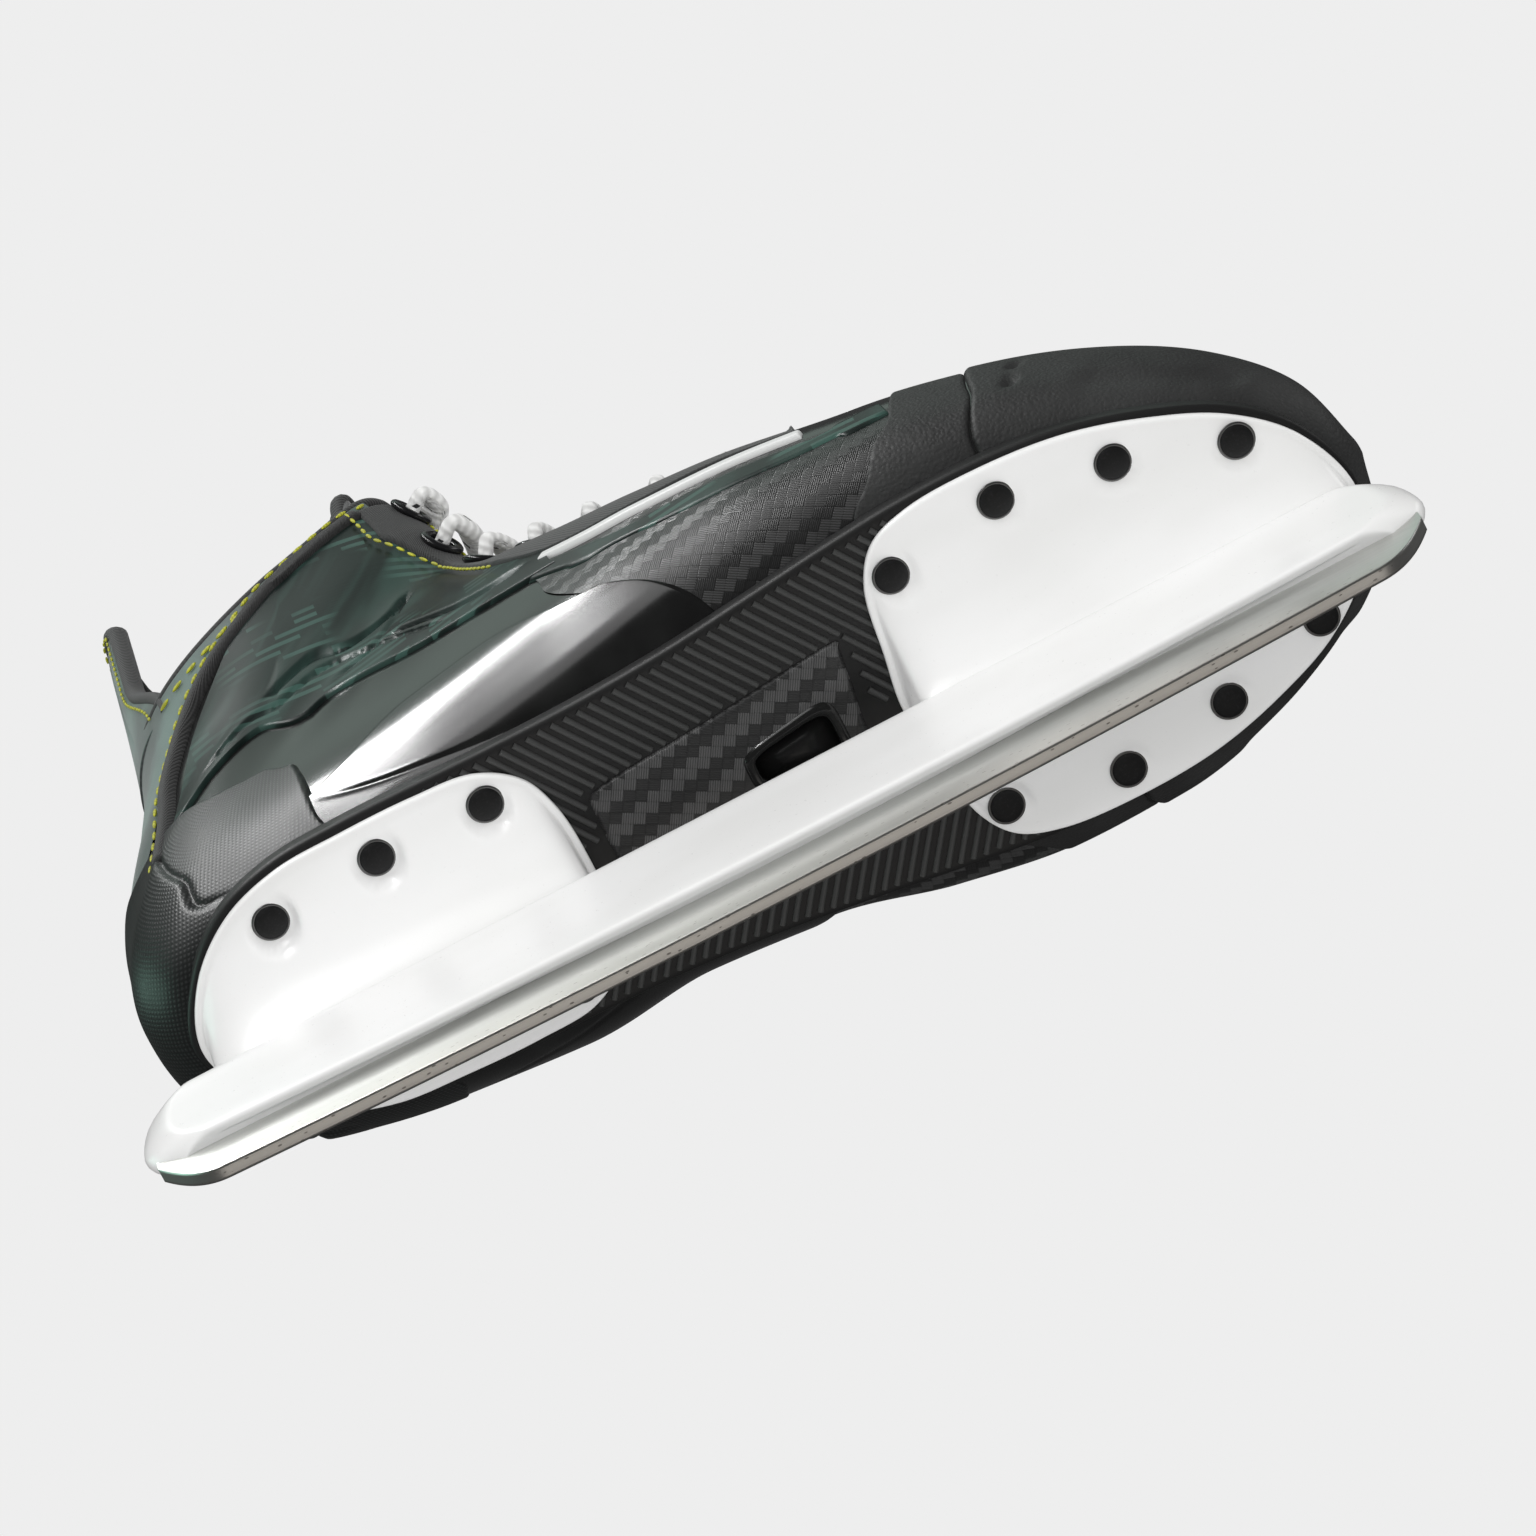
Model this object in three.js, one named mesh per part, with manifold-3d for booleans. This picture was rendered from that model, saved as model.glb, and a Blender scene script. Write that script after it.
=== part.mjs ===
import * as THREE from 'three';
import { mergeVertices } from 'three/addons/utils/BufferGeometryUtils.js';
import Module from 'manifold-3d';

// Right-foot ice hockey skate. Millimetres, X to the toe, Y to the inner side of the foot, Z up from
// the ice. The blade lies in the plane y = 0 and its lowest point is the origin.

// ---------------------------------------------------------------- driving sizes
const BOOT_LENGTH = 268;        // heel to toe over the shell
const BOOT_WIDTH = 100;         // across the ball of the foot
const BOOT_RISE = 159;          // sole plane to the front of the collar
const SOLE_HEIGHT = 56.6;       // sole plane above the ice under the arch
const SOLE_SLOPE = 0.055;       // the heel stands higher than the toe
const HOLDER_LENGTH = 280;
const HOLDER_WIDTH = 12;        // bridge, under the sole
const BRIDGE_TOP = 40;
const FLANGE_THICKNESS = 2.2;
const TOWER_WALL = 3;
const RUNNER_THICKNESS = 3;
const RUNNER_EXPOSED = 11.3;
const RUNNER_DEPTH = 22;
const ROCKER_RADIUS = 1800;
const SHELL_THICKNESS = 3;
const LINER_THICKNESS = 4;
const FOOTBED_THICKNESS = 4;
const TONGUE_THICKNESS = 5;
const PLATE_THICKNESS = 1.5;
const TRIM_THICKNESS = 1.5;     // toe cap, wraps and eyestays lie on the shell
const RIVET_HEAD_RADIUS = 3.6;
const RIVET_RADIUS = 1.8;
const TAIL_RADIUS = 2.7;        // a rivet's closed end inside the shell
const STUD_RADIUS = 2.5;
const NUT_ACROSS = 10;
const EYELET_BORE = 2.6;
const LACE_RADIUS = 1.15;
const GAP = 0.3;

// ---------------------------------------------------------------- values that follow from them
const KX = BOOT_LENGTH / 268;
const KY = BOOT_WIDTH / 100;
const KZ = BOOT_RISE / 159;
const SHELL_OUT = -1.0;
const SHELL_IN = SHELL_OUT - SHELL_THICKNESS;
const TRIM_IN = SHELL_OUT + GAP;
const TRIM_OUT = TRIM_IN + TRIM_THICKNESS;
const LINER_OUT = SHELL_IN - GAP;
const LINER_IN = LINER_OUT - LINER_THICKNESS;
const FOOTBED_OUT = LINER_IN - GAP;
const FOOTBED_IN = FOOTBED_OUT - FOOTBED_THICKNESS;
const TONGUE_OUT = LINER_IN - GAP;
const TONGUE_IN = TONGUE_OUT - TONGUE_THICKNESS;
const CHANNEL_HALF = RUNNER_THICKNESS / 2 + GAP;
const SHELL_FLOOR = PLATE_THICKNESS + GAP - SHELL_OUT + SHELL_THICKNESS;
const THROAT_START = 0.4;
const THROAT_ANGLE = 156;
const EYELET_ANGLE = 143;
const EYELET_STATIONS = [0.435, 0.49, 0.545, 0.6, 0.66, 0.74, 0.84, 0.93];
const RIM_DIP = 0.042;
const TOE_SEAM = 0.33;
const WRAP_SEAM = 0.425;
const HEEL_SEAM = 0.665;
const TONGUE_JOINT = 1.035;
const ANGLE_STEP = 15;          // every layer of the boot breaks at the same angles and stations
const STATIONS = [0.03, 0.06, 0.09, 0.13, 0.18, 0.235, 0.29, 0.345, 0.4, 0.45, 0.5, 0.55, 0.6, 0.65, 0.695, 0.735,
  0.765, 0.788, 0.808, 0.83, 0.855, 0.89, 0.925];
const DEG = Math.PI / 180;

const soleZ = (x) => SOLE_HEIGHT - SOLE_SLOPE * x;

// ---------------------------------------------------------------- boot form
// Sections fan out from the toe round the heel to the collar. Each runs from a point on the
// bottom-and-back line to a point on the top-and-front line; heights are above the sole plane.
//  [station, bottom x, bottom rise, top x, top rise, widest at, outer half, inner half, low n, high n]
const FLOOR = PLATE_THICKNESS + GAP;
const SECTIONS = [
  [0.00, 136.5, 14.9, 136.5, 20.9, 0.50, 1, 1, 2.2, 2.2],
  [0.05, 133, 7.7, 132, 34.7, 0.45, 14, 19.5, 2.5, 2.3],
  [0.12, 120, 2.5, 118.5, 47.9, 0.42, 27.5, 33, 3.0, 2.4],
  [0.21, 99, FLOOR, 98, 57.3, 0.40, 38, 44, 3.4, 2.4],
  [0.30, 76, FLOOR, 76, 62.6, 0.38, 45, 50, 3.6, 2.3],
  [0.39, 51, FLOOR, 52, 67.3, 0.38, 48.5, 51.5, 3.6, 2.3],
  [0.47, 26, FLOOR, 29, 77, 0.38, 49, 49, 3.4, 2.4],
  [0.55, 0, FLOOR, 8, 87.8, 0.38, 47, 44, 3.2, 2.5],
  [0.62, -28, FLOOR, -9, 97.9, 0.39, 42.5, 43, 3.2, 2.6],
  [0.69, -60, FLOOR, -20, 108.3, 0.41, 37.5, 46.5, 3.4, 2.8],
  [0.75, -92, FLOOR, -26, 118, 0.46, 33.5, 46, 3.4, 3.2],
  [0.80, -121, 3.2, -29.5, 125.8, 0.50, 31, 44, 2.9, 3.8],
  [0.84, -131.5, 16.2, -32, 132.6, 0.54, 32.5, 42.5, 2.3, 4.2],
  [0.88, -131, 38.2, -34, 139.5, 0.58, 34, 41, 2.0, 4.4],
  [0.92, -124, 71.6, -36, 146.4, 0.60, 35, 39.5, 2.0, 4.4],
  [0.96, -119, 98.9, -38, 153.3, 0.60, 36, 38.5, 2.0, 4.4],
  [1.00, -117, 123, -40, 159.2, 0.60, 36.5, 38, 2.0, 4.4],
  [1.20, -114, 233, -30, 201, 0.60, 36.5, 38, 2.0, 4.4],
];

function monotoneSlopes(column) {
  const count = SECTIONS.length;
  const run = [];
  const rise = [];
  for (let i = 0; i < count - 1; i += 1) {
    run.push(SECTIONS[i + 1][0] - SECTIONS[i][0]);
    rise.push((SECTIONS[i + 1][column] - SECTIONS[i][column]) / run[i]);
  }
  const slopes = [rise[0]];
  for (let i = 1; i < count - 1; i += 1) {
    if (rise[i - 1] * rise[i] <= 0) {
      slopes.push(0);
    } else {
      const a = 2 * run[i] + run[i - 1];
      const b = run[i] + 2 * run[i - 1];
      slopes.push((a + b) / (a / rise[i - 1] + b / rise[i]));
    }
  }
  slopes.push(rise[count - 2]);
  return slopes;
}

const SLOPES = SECTIONS[0].map((_, column) => (column === 0 ? [] : monotoneSlopes(column)));

function sectionValue(column, s) {
  let i = 0;
  while (i < SECTIONS.length - 2 && s > SECTIONS[i + 1][0]) i += 1;
  const h = SECTIONS[i + 1][0] - SECTIONS[i][0];
  const t = (s - SECTIONS[i][0]) / h;
  const a = SECTIONS[i][column];
  const b = SECTIONS[i + 1][column];
  const m0 = SLOPES[column][i] * h;
  const m1 = SLOPES[column][i + 1] * h;
  const t2 = t * t;
  const t3 = t2 * t;
  return (2 * t3 - 3 * t2 + 1) * a + (t3 - 2 * t2 + t) * m0 + (3 * t2 - 2 * t3) * b + (t3 - t2) * m1;
}

// A point on the boot's form. The angle is 0 on the bottom-and-back line, 180 on the
// top-and-front line, and positive on the inner side of the foot.
function formPoint(s, degrees) {
  const [bx, bz, tx, tz, widest, outer, inner, low, high] =
    [1, 2, 3, 4, 5, 6, 7, 8, 9].map((column) => sectionValue(column, s));
  const c = Math.cos(degrees * DEG);
  const d = Math.sin(degrees * DEG);
  const power = 2 / (c > 0 ? low : high);
  const along = Math.abs(c) ** power;
  const across = Math.sign(d) * Math.abs(d) ** power;
  const eta = c > 0 ? widest * (1 - along) : widest + (1 - widest) * along;
  const x0 = bx * KX;
  const x1 = tx * KX;
  const low3 = soleZ(x0) + (bz - FLOOR) * KZ + FLOOR;
  const high3 = soleZ(x1) + (tz - FLOOR) * KZ + FLOOR;
  const half = (d > 0 ? inner : outer) * KY;
  return new THREE.Vector3(x0 + (x1 - x0) * eta, across * half, low3 + (high3 - low3) * eta);
}

function formNormal(s, degrees) {
  const e = 0.004;
  const f = 1.2;
  const s0 = Math.max(s - e, 0.006);
  const alongS = formPoint(s0 + 2 * e, degrees).sub(formPoint(s0, degrees));
  const alongA = formPoint(s0 + e, degrees + f).sub(formPoint(s0 + e, degrees - f));
  return alongS.cross(alongA).normalize();
}

function skinPoint(s, degrees, offset) {
  return formPoint(s, degrees).addScaledVector(formNormal(s, degrees), offset);
}

const rimStation = (degrees) => {
  const e = (1 - Math.cos(degrees * DEG)) / 2 / 0.9;
  return 1 - RIM_DIP * Math.sin(Math.PI * Math.min(e, 1));
};

// ---------------------------------------------------------------- solids from grids and loops
function geometryFrom(points, triangles) {
  let volume = 0;
  for (const [a, b, c] of triangles) {
    volume += points[a].dot(new THREE.Vector3().crossVectors(points[b], points[c]));
  }
  const order = volume > 0 ? triangles : triangles.map(([a, b, c]) => [a, c, b]);
  const geometry = new THREE.BufferGeometry();
  geometry.setAttribute('position', new THREE.Float32BufferAttribute(points.flatMap((p) => [p.x, p.y, p.z]), 3));
  geometry.setIndex(order.flat());
  return geometry;
}

// Closes a grid of outside points over a matching grid of inside points.
function sandwich(under, over) {
  const rows = over.length - 1;
  const columns = over[0].length - 1;
  const points = [...under.flat(), ...over.flat()];
  const index = (layer, i, j) => (layer * (rows + 1) + i) * (columns + 1) + j;
  const triangles = [];
  const quad = (a, b, c, d) => triangles.push([a, b, c], [a, c, d]);
  for (let i = 0; i < rows; i += 1) {
    for (let j = 0; j < columns; j += 1) {
      quad(index(1, i, j), index(1, i + 1, j), index(1, i + 1, j + 1), index(1, i, j + 1));
      quad(index(0, i, j), index(0, i, j + 1), index(0, i + 1, j + 1), index(0, i + 1, j));
    }
  }
  for (let i = 0; i < rows; i += 1) {
    quad(index(0, i, 0), index(0, i + 1, 0), index(1, i + 1, 0), index(1, i, 0));
    quad(index(0, i + 1, columns), index(0, i, columns), index(1, i, columns), index(1, i + 1, columns));
  }
  for (let j = 0; j < columns; j += 1) {
    quad(index(0, 0, j + 1), index(0, 0, j), index(1, 0, j), index(1, 0, j + 1));
    quad(index(0, rows, j), index(0, rows, j + 1), index(1, rows, j + 1), index(1, rows, j));
  }
  return geometryFrom(points, triangles);
}

// Breaks strictly between two ends, with the ends themselves.
function breaks(from, to, list, clear) {
  const low = Math.min(from, to) + clear;
  const high = Math.max(from, to) - clear;
  const inner = list.filter((value) => value > low && value < high);
  return from < to ? [from, ...inner, to] : [from, ...inner.reverse(), to];
}

const angleList = (step) => Array.from({ length: Math.floor(720 / step) + 1 }, (_, k) => -360 + k * step);

// A layer of even thickness over the boot's form between two angles and two station lines.
function panel({ s0, s1, a0, a1, step = ANGLE_STEP, inside, outside }) {
  const angles = breaks(a0, a1, angleList(step), 2.5);
  const from = Math.max(...angles.map(s0));
  const to = Math.min(...angles.map(s1));
  const inner = STATIONS.filter((s) => s > from + 0.008 && s < to - 0.008);
  const grid = (offset) => [null, ...inner, undefined].map((row) => angles.map((a) => {
    const s = row ?? (row === null ? s0(a) : s1(a));
    return skinPoint(s, a, offset);
  }));
  return sandwich(grid(inside), grid(outside));
}

// The same with edges that narrow from station to station.
function tongueShape({ s0, s1, half, middle, rows, columns, inside, outside }) {
  const grid = (offset) => Array.from({ length: rows + 1 }, (_, i) =>
    Array.from({ length: columns + 1 }, (__, j) => {
      const lean = (2 * j) / columns - 1;
      const probe = s0(middle) + (s1(middle) - s0(middle)) * (i / rows);
      const a = middle + lean * half(probe);
      return skinPoint(s0(a) + (s1(a) - s0(a)) * (i / rows), a, offset);
    }));
  return sandwich(grid(inside), grid(outside));
}

// The whole form as a bag that starts at the toe; open bags have a wall, closed ones a lid.
function bag({ end, inside, outside }) {
  const columns = 360 / ANGLE_STEP;
  const angles = Array.from({ length: columns }, (_, j) => -180 + j * ANGLE_STEP);
  const shortest = Math.min(...angles.map(end));
  const stations = [...STATIONS.filter((s) => s < shortest - 0.008), null];
  const rows = stations.length;
  const layers = inside === null ? [outside] : [inside, outside];
  const first = (layer) => layer * (rows * columns + 1);
  const index = (layer, i, j) => first(layer) + 1 + i * columns + (j % columns);
  const points = [];
  for (const offset of layers) {
    const tip = formPoint(0, 0).add(formPoint(0, 180)).multiplyScalar(0.5);
    points.push(tip.add(new THREE.Vector3(offset, 0, 0)));
    for (const station of stations) {
      for (const a of angles) points.push(skinPoint(station ?? end(a), a, offset));
    }
  }
  const triangles = [];
  layers.forEach((_, layer) => {
    const reversed = layers.length === 2 && layer === 0;
    const put = (a, b, c) => triangles.push(reversed ? [a, c, b] : [a, b, c]);
    for (let j = 0; j < columns; j += 1) put(first(layer), index(layer, 0, j), index(layer, 0, j + 1));
    for (let i = 0; i < rows - 1; i += 1) {
      for (let j = 0; j < columns; j += 1) {
        put(index(layer, i, j), index(layer, i + 1, j), index(layer, i + 1, j + 1));
        put(index(layer, i, j), index(layer, i + 1, j + 1), index(layer, i, j + 1));
      }
    }
  });
  const last = rows - 1;
  if (layers.length === 2) {
    for (let j = 0; j < columns; j += 1) {
      triangles.push([index(0, last, j), index(0, last, j + 1), index(1, last, j + 1)]);
      triangles.push([index(0, last, j), index(1, last, j + 1), index(1, last, j)]);
    }
  } else {
    const lid = points.length;
    const centre = new THREE.Vector3();
    for (let j = 0; j < columns; j += 1) centre.addScaledVector(points[index(0, last, j)], 1 / columns);
    points.push(centre);
    for (let j = 0; j < columns; j += 1) triangles.push([index(0, last, j), lid, index(0, last, j + 1)]);
  }
  return geometryFrom(points, triangles);
}

// Loops of equal point count, stacked and capped by fans.
function loopStack(loops) {
  const points = loops.flat();
  const count = loops[0].length;
  const triangles = [];
  for (let i = 0; i < loops.length - 1; i += 1) {
    for (let j = 0; j < count; j += 1) {
      const k = (j + 1) % count;
      const a = i * count;
      triangles.push([a + j, a + k, a + count + k], [a + j, a + count + k, a + count + j]);
    }
  }
  [0, loops.length - 1].forEach((row, side) => {
    const centre = new THREE.Vector3();
    loops[row].forEach((p) => centre.addScaledVector(p, 1 / count));
    points.push(centre);
    const at = points.length - 1;
    for (let j = 0; j < count; j += 1) {
      const a = row * count + j;
      const b = row * count + ((j + 1) % count);
      triangles.push(side === 0 ? [at, b, a] : [at, a, b]);
    }
  });
  return geometryFrom(points, triangles);
}

function closedTube(path, radius, sides) {
  const loops = [];
  const start = path[1].clone().sub(path[0]).normalize();
  let normal = Math.abs(start.z) > 0.8 ? new THREE.Vector3(1, 0, 0) : new THREE.Vector3(0, 0, 1);
  path.forEach((point, i) => {
    const before = path[Math.max(i - 1, 0)];
    const after = path[Math.min(i + 1, path.length - 1)];
    const tangent = after.clone().sub(before).normalize();
    normal = normal.clone().addScaledVector(tangent, -normal.dot(tangent)).normalize();
    const side = new THREE.Vector3().crossVectors(tangent, normal);
    const loop = [];
    for (let k = 0; k < sides; k += 1) {
      const a = (2 * Math.PI * k) / sides;
      loop.push(point.clone().addScaledVector(normal, radius * Math.cos(a)).addScaledVector(side, radius * Math.sin(a)));
    }
    loops.push(loop);
  });
  return loopStack(loops);
}

function cylinderBetween(from, to, radius, sides = 10) {
  return closedTube([from, to], radius, sides);
}

function turned(profile, base, axis, segments) {
  const geometry = new THREE.LatheGeometry(profile.map(([r, z]) => new THREE.Vector2(r, z)), segments);
  geometry.applyQuaternion(new THREE.Quaternion().setFromUnitVectors(new THREE.Vector3(0, 1, 0), axis));
  geometry.translate(base.x, base.y, base.z);
  return geometry;
}

const wasm = await Module();
wasm.setup();

function solid(geometry) {
  const clean = geometry.clone();
  clean.deleteAttribute('normal');
  clean.deleteAttribute('uv');
  const merged = mergeVertices(clean, 1e-4);
  const mesh = new wasm.Mesh({
    numProp: 3,
    vertProperties: new Float32Array(merged.attributes.position.array),
    triVerts: new Uint32Array(merged.index.array),
  });
  mesh.merge();
  return new wasm.Manifold(mesh);
}

function surface(manifold) {
  const mesh = manifold.getMesh();
  const geometry = new THREE.BufferGeometry();
  geometry.setAttribute('position', new THREE.Float32BufferAttribute(mesh.vertProperties, 3));
  geometry.setIndex(Array.from(mesh.triVerts));
  return geometry;
}

// ---------------------------------------------------------------- assembly
const skate = new THREE.Group();
skate.name = 'hockey_skate';

function addNode(name, geometry, colour, roughness = 0.5, metalness = 0) {
  const plain = geometry.index ? geometry.toNonIndexed() : geometry;
  plain.deleteAttribute('uv');
  plain.computeVertexNormals();
  const mesh = new THREE.Mesh(plain, new THREE.MeshStandardMaterial({ color: colour, roughness, metalness }));
  mesh.name = name;
  skate.add(mesh);
  return mesh;
}

const DARK = 0x15171a;
const WHITE = 0xf0f0ee;
const STEEL = 0xa9aca8;
const flip = (points, side) => points.map(([x, y]) => [x, y * side]);

// ---------------------------------------------------------------- plan outlines on the sole plane
const FRONT_FLANGE = [[32, 0], [33.5, 12], [36, 27], [41, 34.5], [50, 38], [66, 39], [84, 37.5], [100, 33],
  [115, 26], [126, 15.5], [131.5, 0]];
const HEEL_FLANGE = [[-36.5, 0], [-37.5, 14], [-41, 22.5], [-49, 28], [-62, 29.3], [-78, 29.2], [-93, 28.2],
  [-106, 23.5], [-117, 13.5], [-122.5, 0]];
const PLATE_HALF = [[132.3, 0], [127, 16.2], [116, 26.8], [101, 33.8], [84, 38.4], [66, 40], [50, 39.6], [34, 38],
  [15, 35.5], [-5, 33], [-25, 31.5], [-45, 31], [-62, 31], [-78, 30.8], [-93, 29.6], [-106, 25], [-117, 15], [-124, 0]];

function planLoop(half, count, grow = 0) {
  const ring = [...half, ...flip(half.slice(1, -1), -1).reverse()];
  const points = ring.map(([x, y]) => new THREE.Vector3(x * KX, y * KY, 0));
  const curve = new THREE.CatmullRomCurve3(points, true, 'centripetal');
  const loop = curve.getSpacedPoints(count).slice(0, count);
  if (grow === 0) return loop;
  const turn = loop.reduce((sum, p, i) => {
    const q = loop[(i + 1) % count];
    return sum + p.x * q.y - q.x * p.y;
  }, 0);
  const outward = turn < 0 ? 1 : -1;
  return loop.map((p, i) => {
    const t = loop[(i + 1) % count].clone().sub(loop[(i + count - 1) % count]).normalize();
    return p.clone().add(new THREE.Vector3(-t.y, t.x, 0).multiplyScalar(grow * outward));
  });
}

const atSole = (loop, above) => loop.map((p) => new THREE.Vector3(p.x, p.y, soleZ(p.x) + above));

// ---------------------------------------------------------------- fastener positions
const RIVETS = [];
for (const [x, y] of [[41.8, 27.6], [66.7, 32.1], [90.5, 28.4], [114.1, 21], [-49.7, 22], [-73.6, 22], [-98, 19.6]]) {
  for (const side of [-1, 1]) RIVETS.push({ x: x * KX, y: y * KY * side, front: x > 0, inner: side > 0 });
}
const STUDS = [{ name: 'front', x: 80 * KX }, { name: 'rear', x: -84 * KX }];

// Height of the shell's outside face over a plan position, from the section that crosses it.
function shellFloorAt(x, y, offset) {
  let best = null;
  for (let s = 0.03; s < 0.82; s += 0.01) {
    for (let a = 0; a <= 60; a += 3) {
      const p = skinPoint(s, y > 0 ? a : -a, offset);
      const miss = Math.hypot(p.x - x, p.y - y);
      if (best === null || miss < best.miss) best = { miss, z: p.z };
    }
  }
  return best.z;
}

// ---------------------------------------------------------------- shell
const up = new THREE.Vector3(0, 0, 1);
let shell = solid(bag({ end: rimStation, inside: SHELL_IN, outside: SHELL_OUT }));
const throatCut = solid(tongueShape({
  s0: () => THROAT_START, s1: () => 1.06, half: throatHalf, middle: 180, rows: 16, columns: 4,
  inside: SHELL_IN - 9, outside: 9,
}));

function throatHalf(s) {
  const start = Math.min(Math.max((s - THROAT_START) / 0.05, 0), 1);
  return (180 - THROAT_ANGLE) * (0.45 + 0.55 * Math.sqrt(start));
}

shell = shell.subtract(throatCut);

const VENT = { x: 10 * KX, y: -2.5 * KY, long: 10.5, wide: 5 };

function ventPrism(grow, from, to) {
  const loop = [];
  for (let k = 0; k < 12; k += 1) {
    const a = (2 * Math.PI * (k + 0.5)) / 12;
    const c = Math.cos(a);
    const d = Math.sin(a);
    const u = Math.sign(c) * Math.abs(c) ** 0.6 * (VENT.long + grow);
    const v = Math.sign(d) * Math.abs(d) ** 0.6 * (VENT.wide + grow) * (1 - 0.25 * c);
    loop.push(new THREE.Vector3(VENT.x + u, VENT.y + v, 0));
  }
  return loopStack([atSole(loop, from), atSole(loop, to)]);
}

for (const r of RIVETS) {
  const z = shellFloorAt(r.x, r.y + Math.sign(r.y) * TAIL_RADIUS, SHELL_OUT);
  r.seat = Math.max(z + 0.8, shellFloorAt(r.x, r.y, SHELL_OUT) + 1.5);
  const low = new THREE.Vector3(r.x, r.y, soleZ(r.x) - 20);
  shell = shell.subtract(solid(cylinderBetween(low, new THREE.Vector3(r.x, r.y, r.seat + 6), RIVET_RADIUS + GAP, 8)));
  const face = new THREE.Vector3(r.x, r.y, r.seat);
  shell = shell.subtract(solid(cylinderBetween(face, new THREE.Vector3(r.x, r.y, r.seat + 6), TAIL_RADIUS + 0.5, 8)));
}
for (const stud of STUDS) {
  const low = new THREE.Vector3(stud.x, 0, soleZ(stud.x) - 5);
  const high = new THREE.Vector3(stud.x, 0, soleZ(stud.x) + 14);
  shell = shell.subtract(solid(cylinderBetween(low, high, STUD_RADIUS + GAP + 0.1)));
}
shell = shell.subtract(solid(ventPrism(0, -6, 12)));

// ---------------------------------------------------------------- eyelets and the holes they sit in
const EYELETS = [];
for (const side of [-1, 1]) {
  EYELET_STATIONS.forEach((s, row) => {
    const a = side * EYELET_ANGLE;
    EYELETS.push({ s, a, row, side, centre: formPoint(s, a), axis: formNormal(s, a) });
  });
}
const eyeletHoles = EYELETS.map(({ centre, axis }) => solid(cylinderBetween(
  centre.clone().addScaledVector(axis, -8), centre.clone().addScaledVector(axis, 6), EYELET_BORE + 0.6 + GAP + 0.1, 8)));
for (const hole of eyeletHoles) shell = shell.subtract(hole);
addNode('boot_shell', surface(shell), DARK, 0.3);

for (const side of [-1, 1]) {
  const label = side < 0 ? 'lateral' : 'medial';
  let stay = solid(panel({
    s0: () => WRAP_SEAM + 0.004, s1: (a) => rimStation(a) - 0.001, a0: side * 120, a1: side * (THROAT_ANGLE - 0.5),
    inside: TRIM_IN + 0.2, outside: TRIM_OUT + 0.2,
  }));
  EYELETS.forEach((e, k) => {
    if (e.side === side) stay = stay.subtract(eyeletHoles[k]);
  });
  addNode(`eyestay_${label}`, surface(stay), 0x20262a, 0.8);
}
for (const { row, side, centre, axis } of EYELETS) {
  const label = side < 0 ? 'lateral' : 'medial';
  const lip = TRIM_OUT + GAP + 0.5;
  const foot = SHELL_IN - 0.2;
  const profile = [[EYELET_BORE, foot], [EYELET_BORE + 0.6, foot], [EYELET_BORE + 0.6, lip],
    [4.5, lip], [4.3, lip + 0.8], [EYELET_BORE + 0.5, lip + 1.1], [EYELET_BORE, lip + 0.8], [EYELET_BORE, foot]];
  addNode(`eyelet_${label}_${row + 1}`, turned(profile, centre, axis, 8), 0x0c0d0f, 0.2);
}

// ---------------------------------------------------------------- outsole and the trim over the shell
const PLATE_EDGE = 11;
const plateBlock = (grow, top) => solid(loopStack([
  atSole(planLoop(PLATE_HALF, 40, grow), 0), atSole(planLoop(PLATE_HALF, 40, grow), top)]));
const bootVolume = solid(bag({ end: rimStation, inside: null, outside: SHELL_OUT + GAP }));
let outsole = plateBlock(0, PLATE_EDGE).subtract(bootVolume);
for (const r of RIVETS) {
  const low = new THREE.Vector3(r.x, r.y, soleZ(r.x) - 20);
  const high = new THREE.Vector3(r.x, r.y, soleZ(r.x) + 20);
  outsole = outsole.subtract(solid(cylinderBetween(low, high, RIVET_RADIUS + GAP, 8)));
}
for (const stud of STUDS) {
  const low = new THREE.Vector3(stud.x, 0, soleZ(stud.x) - 5);
  const high = new THREE.Vector3(stud.x, 0, soleZ(stud.x) + 14);
  outsole = outsole.subtract(solid(cylinderBetween(low, high, STUD_RADIUS + GAP + 0.1)));
}
outsole = outsole.subtract(solid(ventPrism(0, -6, 12)));
addNode('outsole', surface(outsole), 0x1a1b1d, 0.4);
addNode('vent_frame', surface(solid(ventPrism(2.2, -1.5, -GAP)).subtract(solid(ventPrism(0, -6, 12)))), 0x0b0b0c, 0.3);

const underCut = solid(loopStack([atSole(planLoop(PLATE_HALF, 40, GAP), -12), atSole(planLoop(PLATE_HALF, 40, GAP), PLATE_EDGE + 4)]));
const capBag = bag({ end: () => TOE_SEAM - 0.003, inside: TRIM_IN, outside: TRIM_OUT });
addNode('toe_cap', surface(solid(capBag).subtract(underCut)), 0x121315, 0.7);
for (const side of [-1, 1]) {
  const label = side < 0 ? 'lateral' : 'medial';
  const wrap = panel({
    s0: () => TOE_SEAM + 0.003, s1: () => WRAP_SEAM, a0: side * 12, a1: side * 144,
    inside: TRIM_IN, outside: TRIM_OUT - 0.4,
  });
  addNode(`forefoot_wrap_${label}`, surface(solid(wrap).subtract(underCut)), 0x131416, 0.75);
}
const heel = panel({
  s0: () => HEEL_SEAM, s1: () => 0.89, a0: -84, a1: 84,
  inside: TRIM_IN, outside: TRIM_OUT - 0.2,
});
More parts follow.
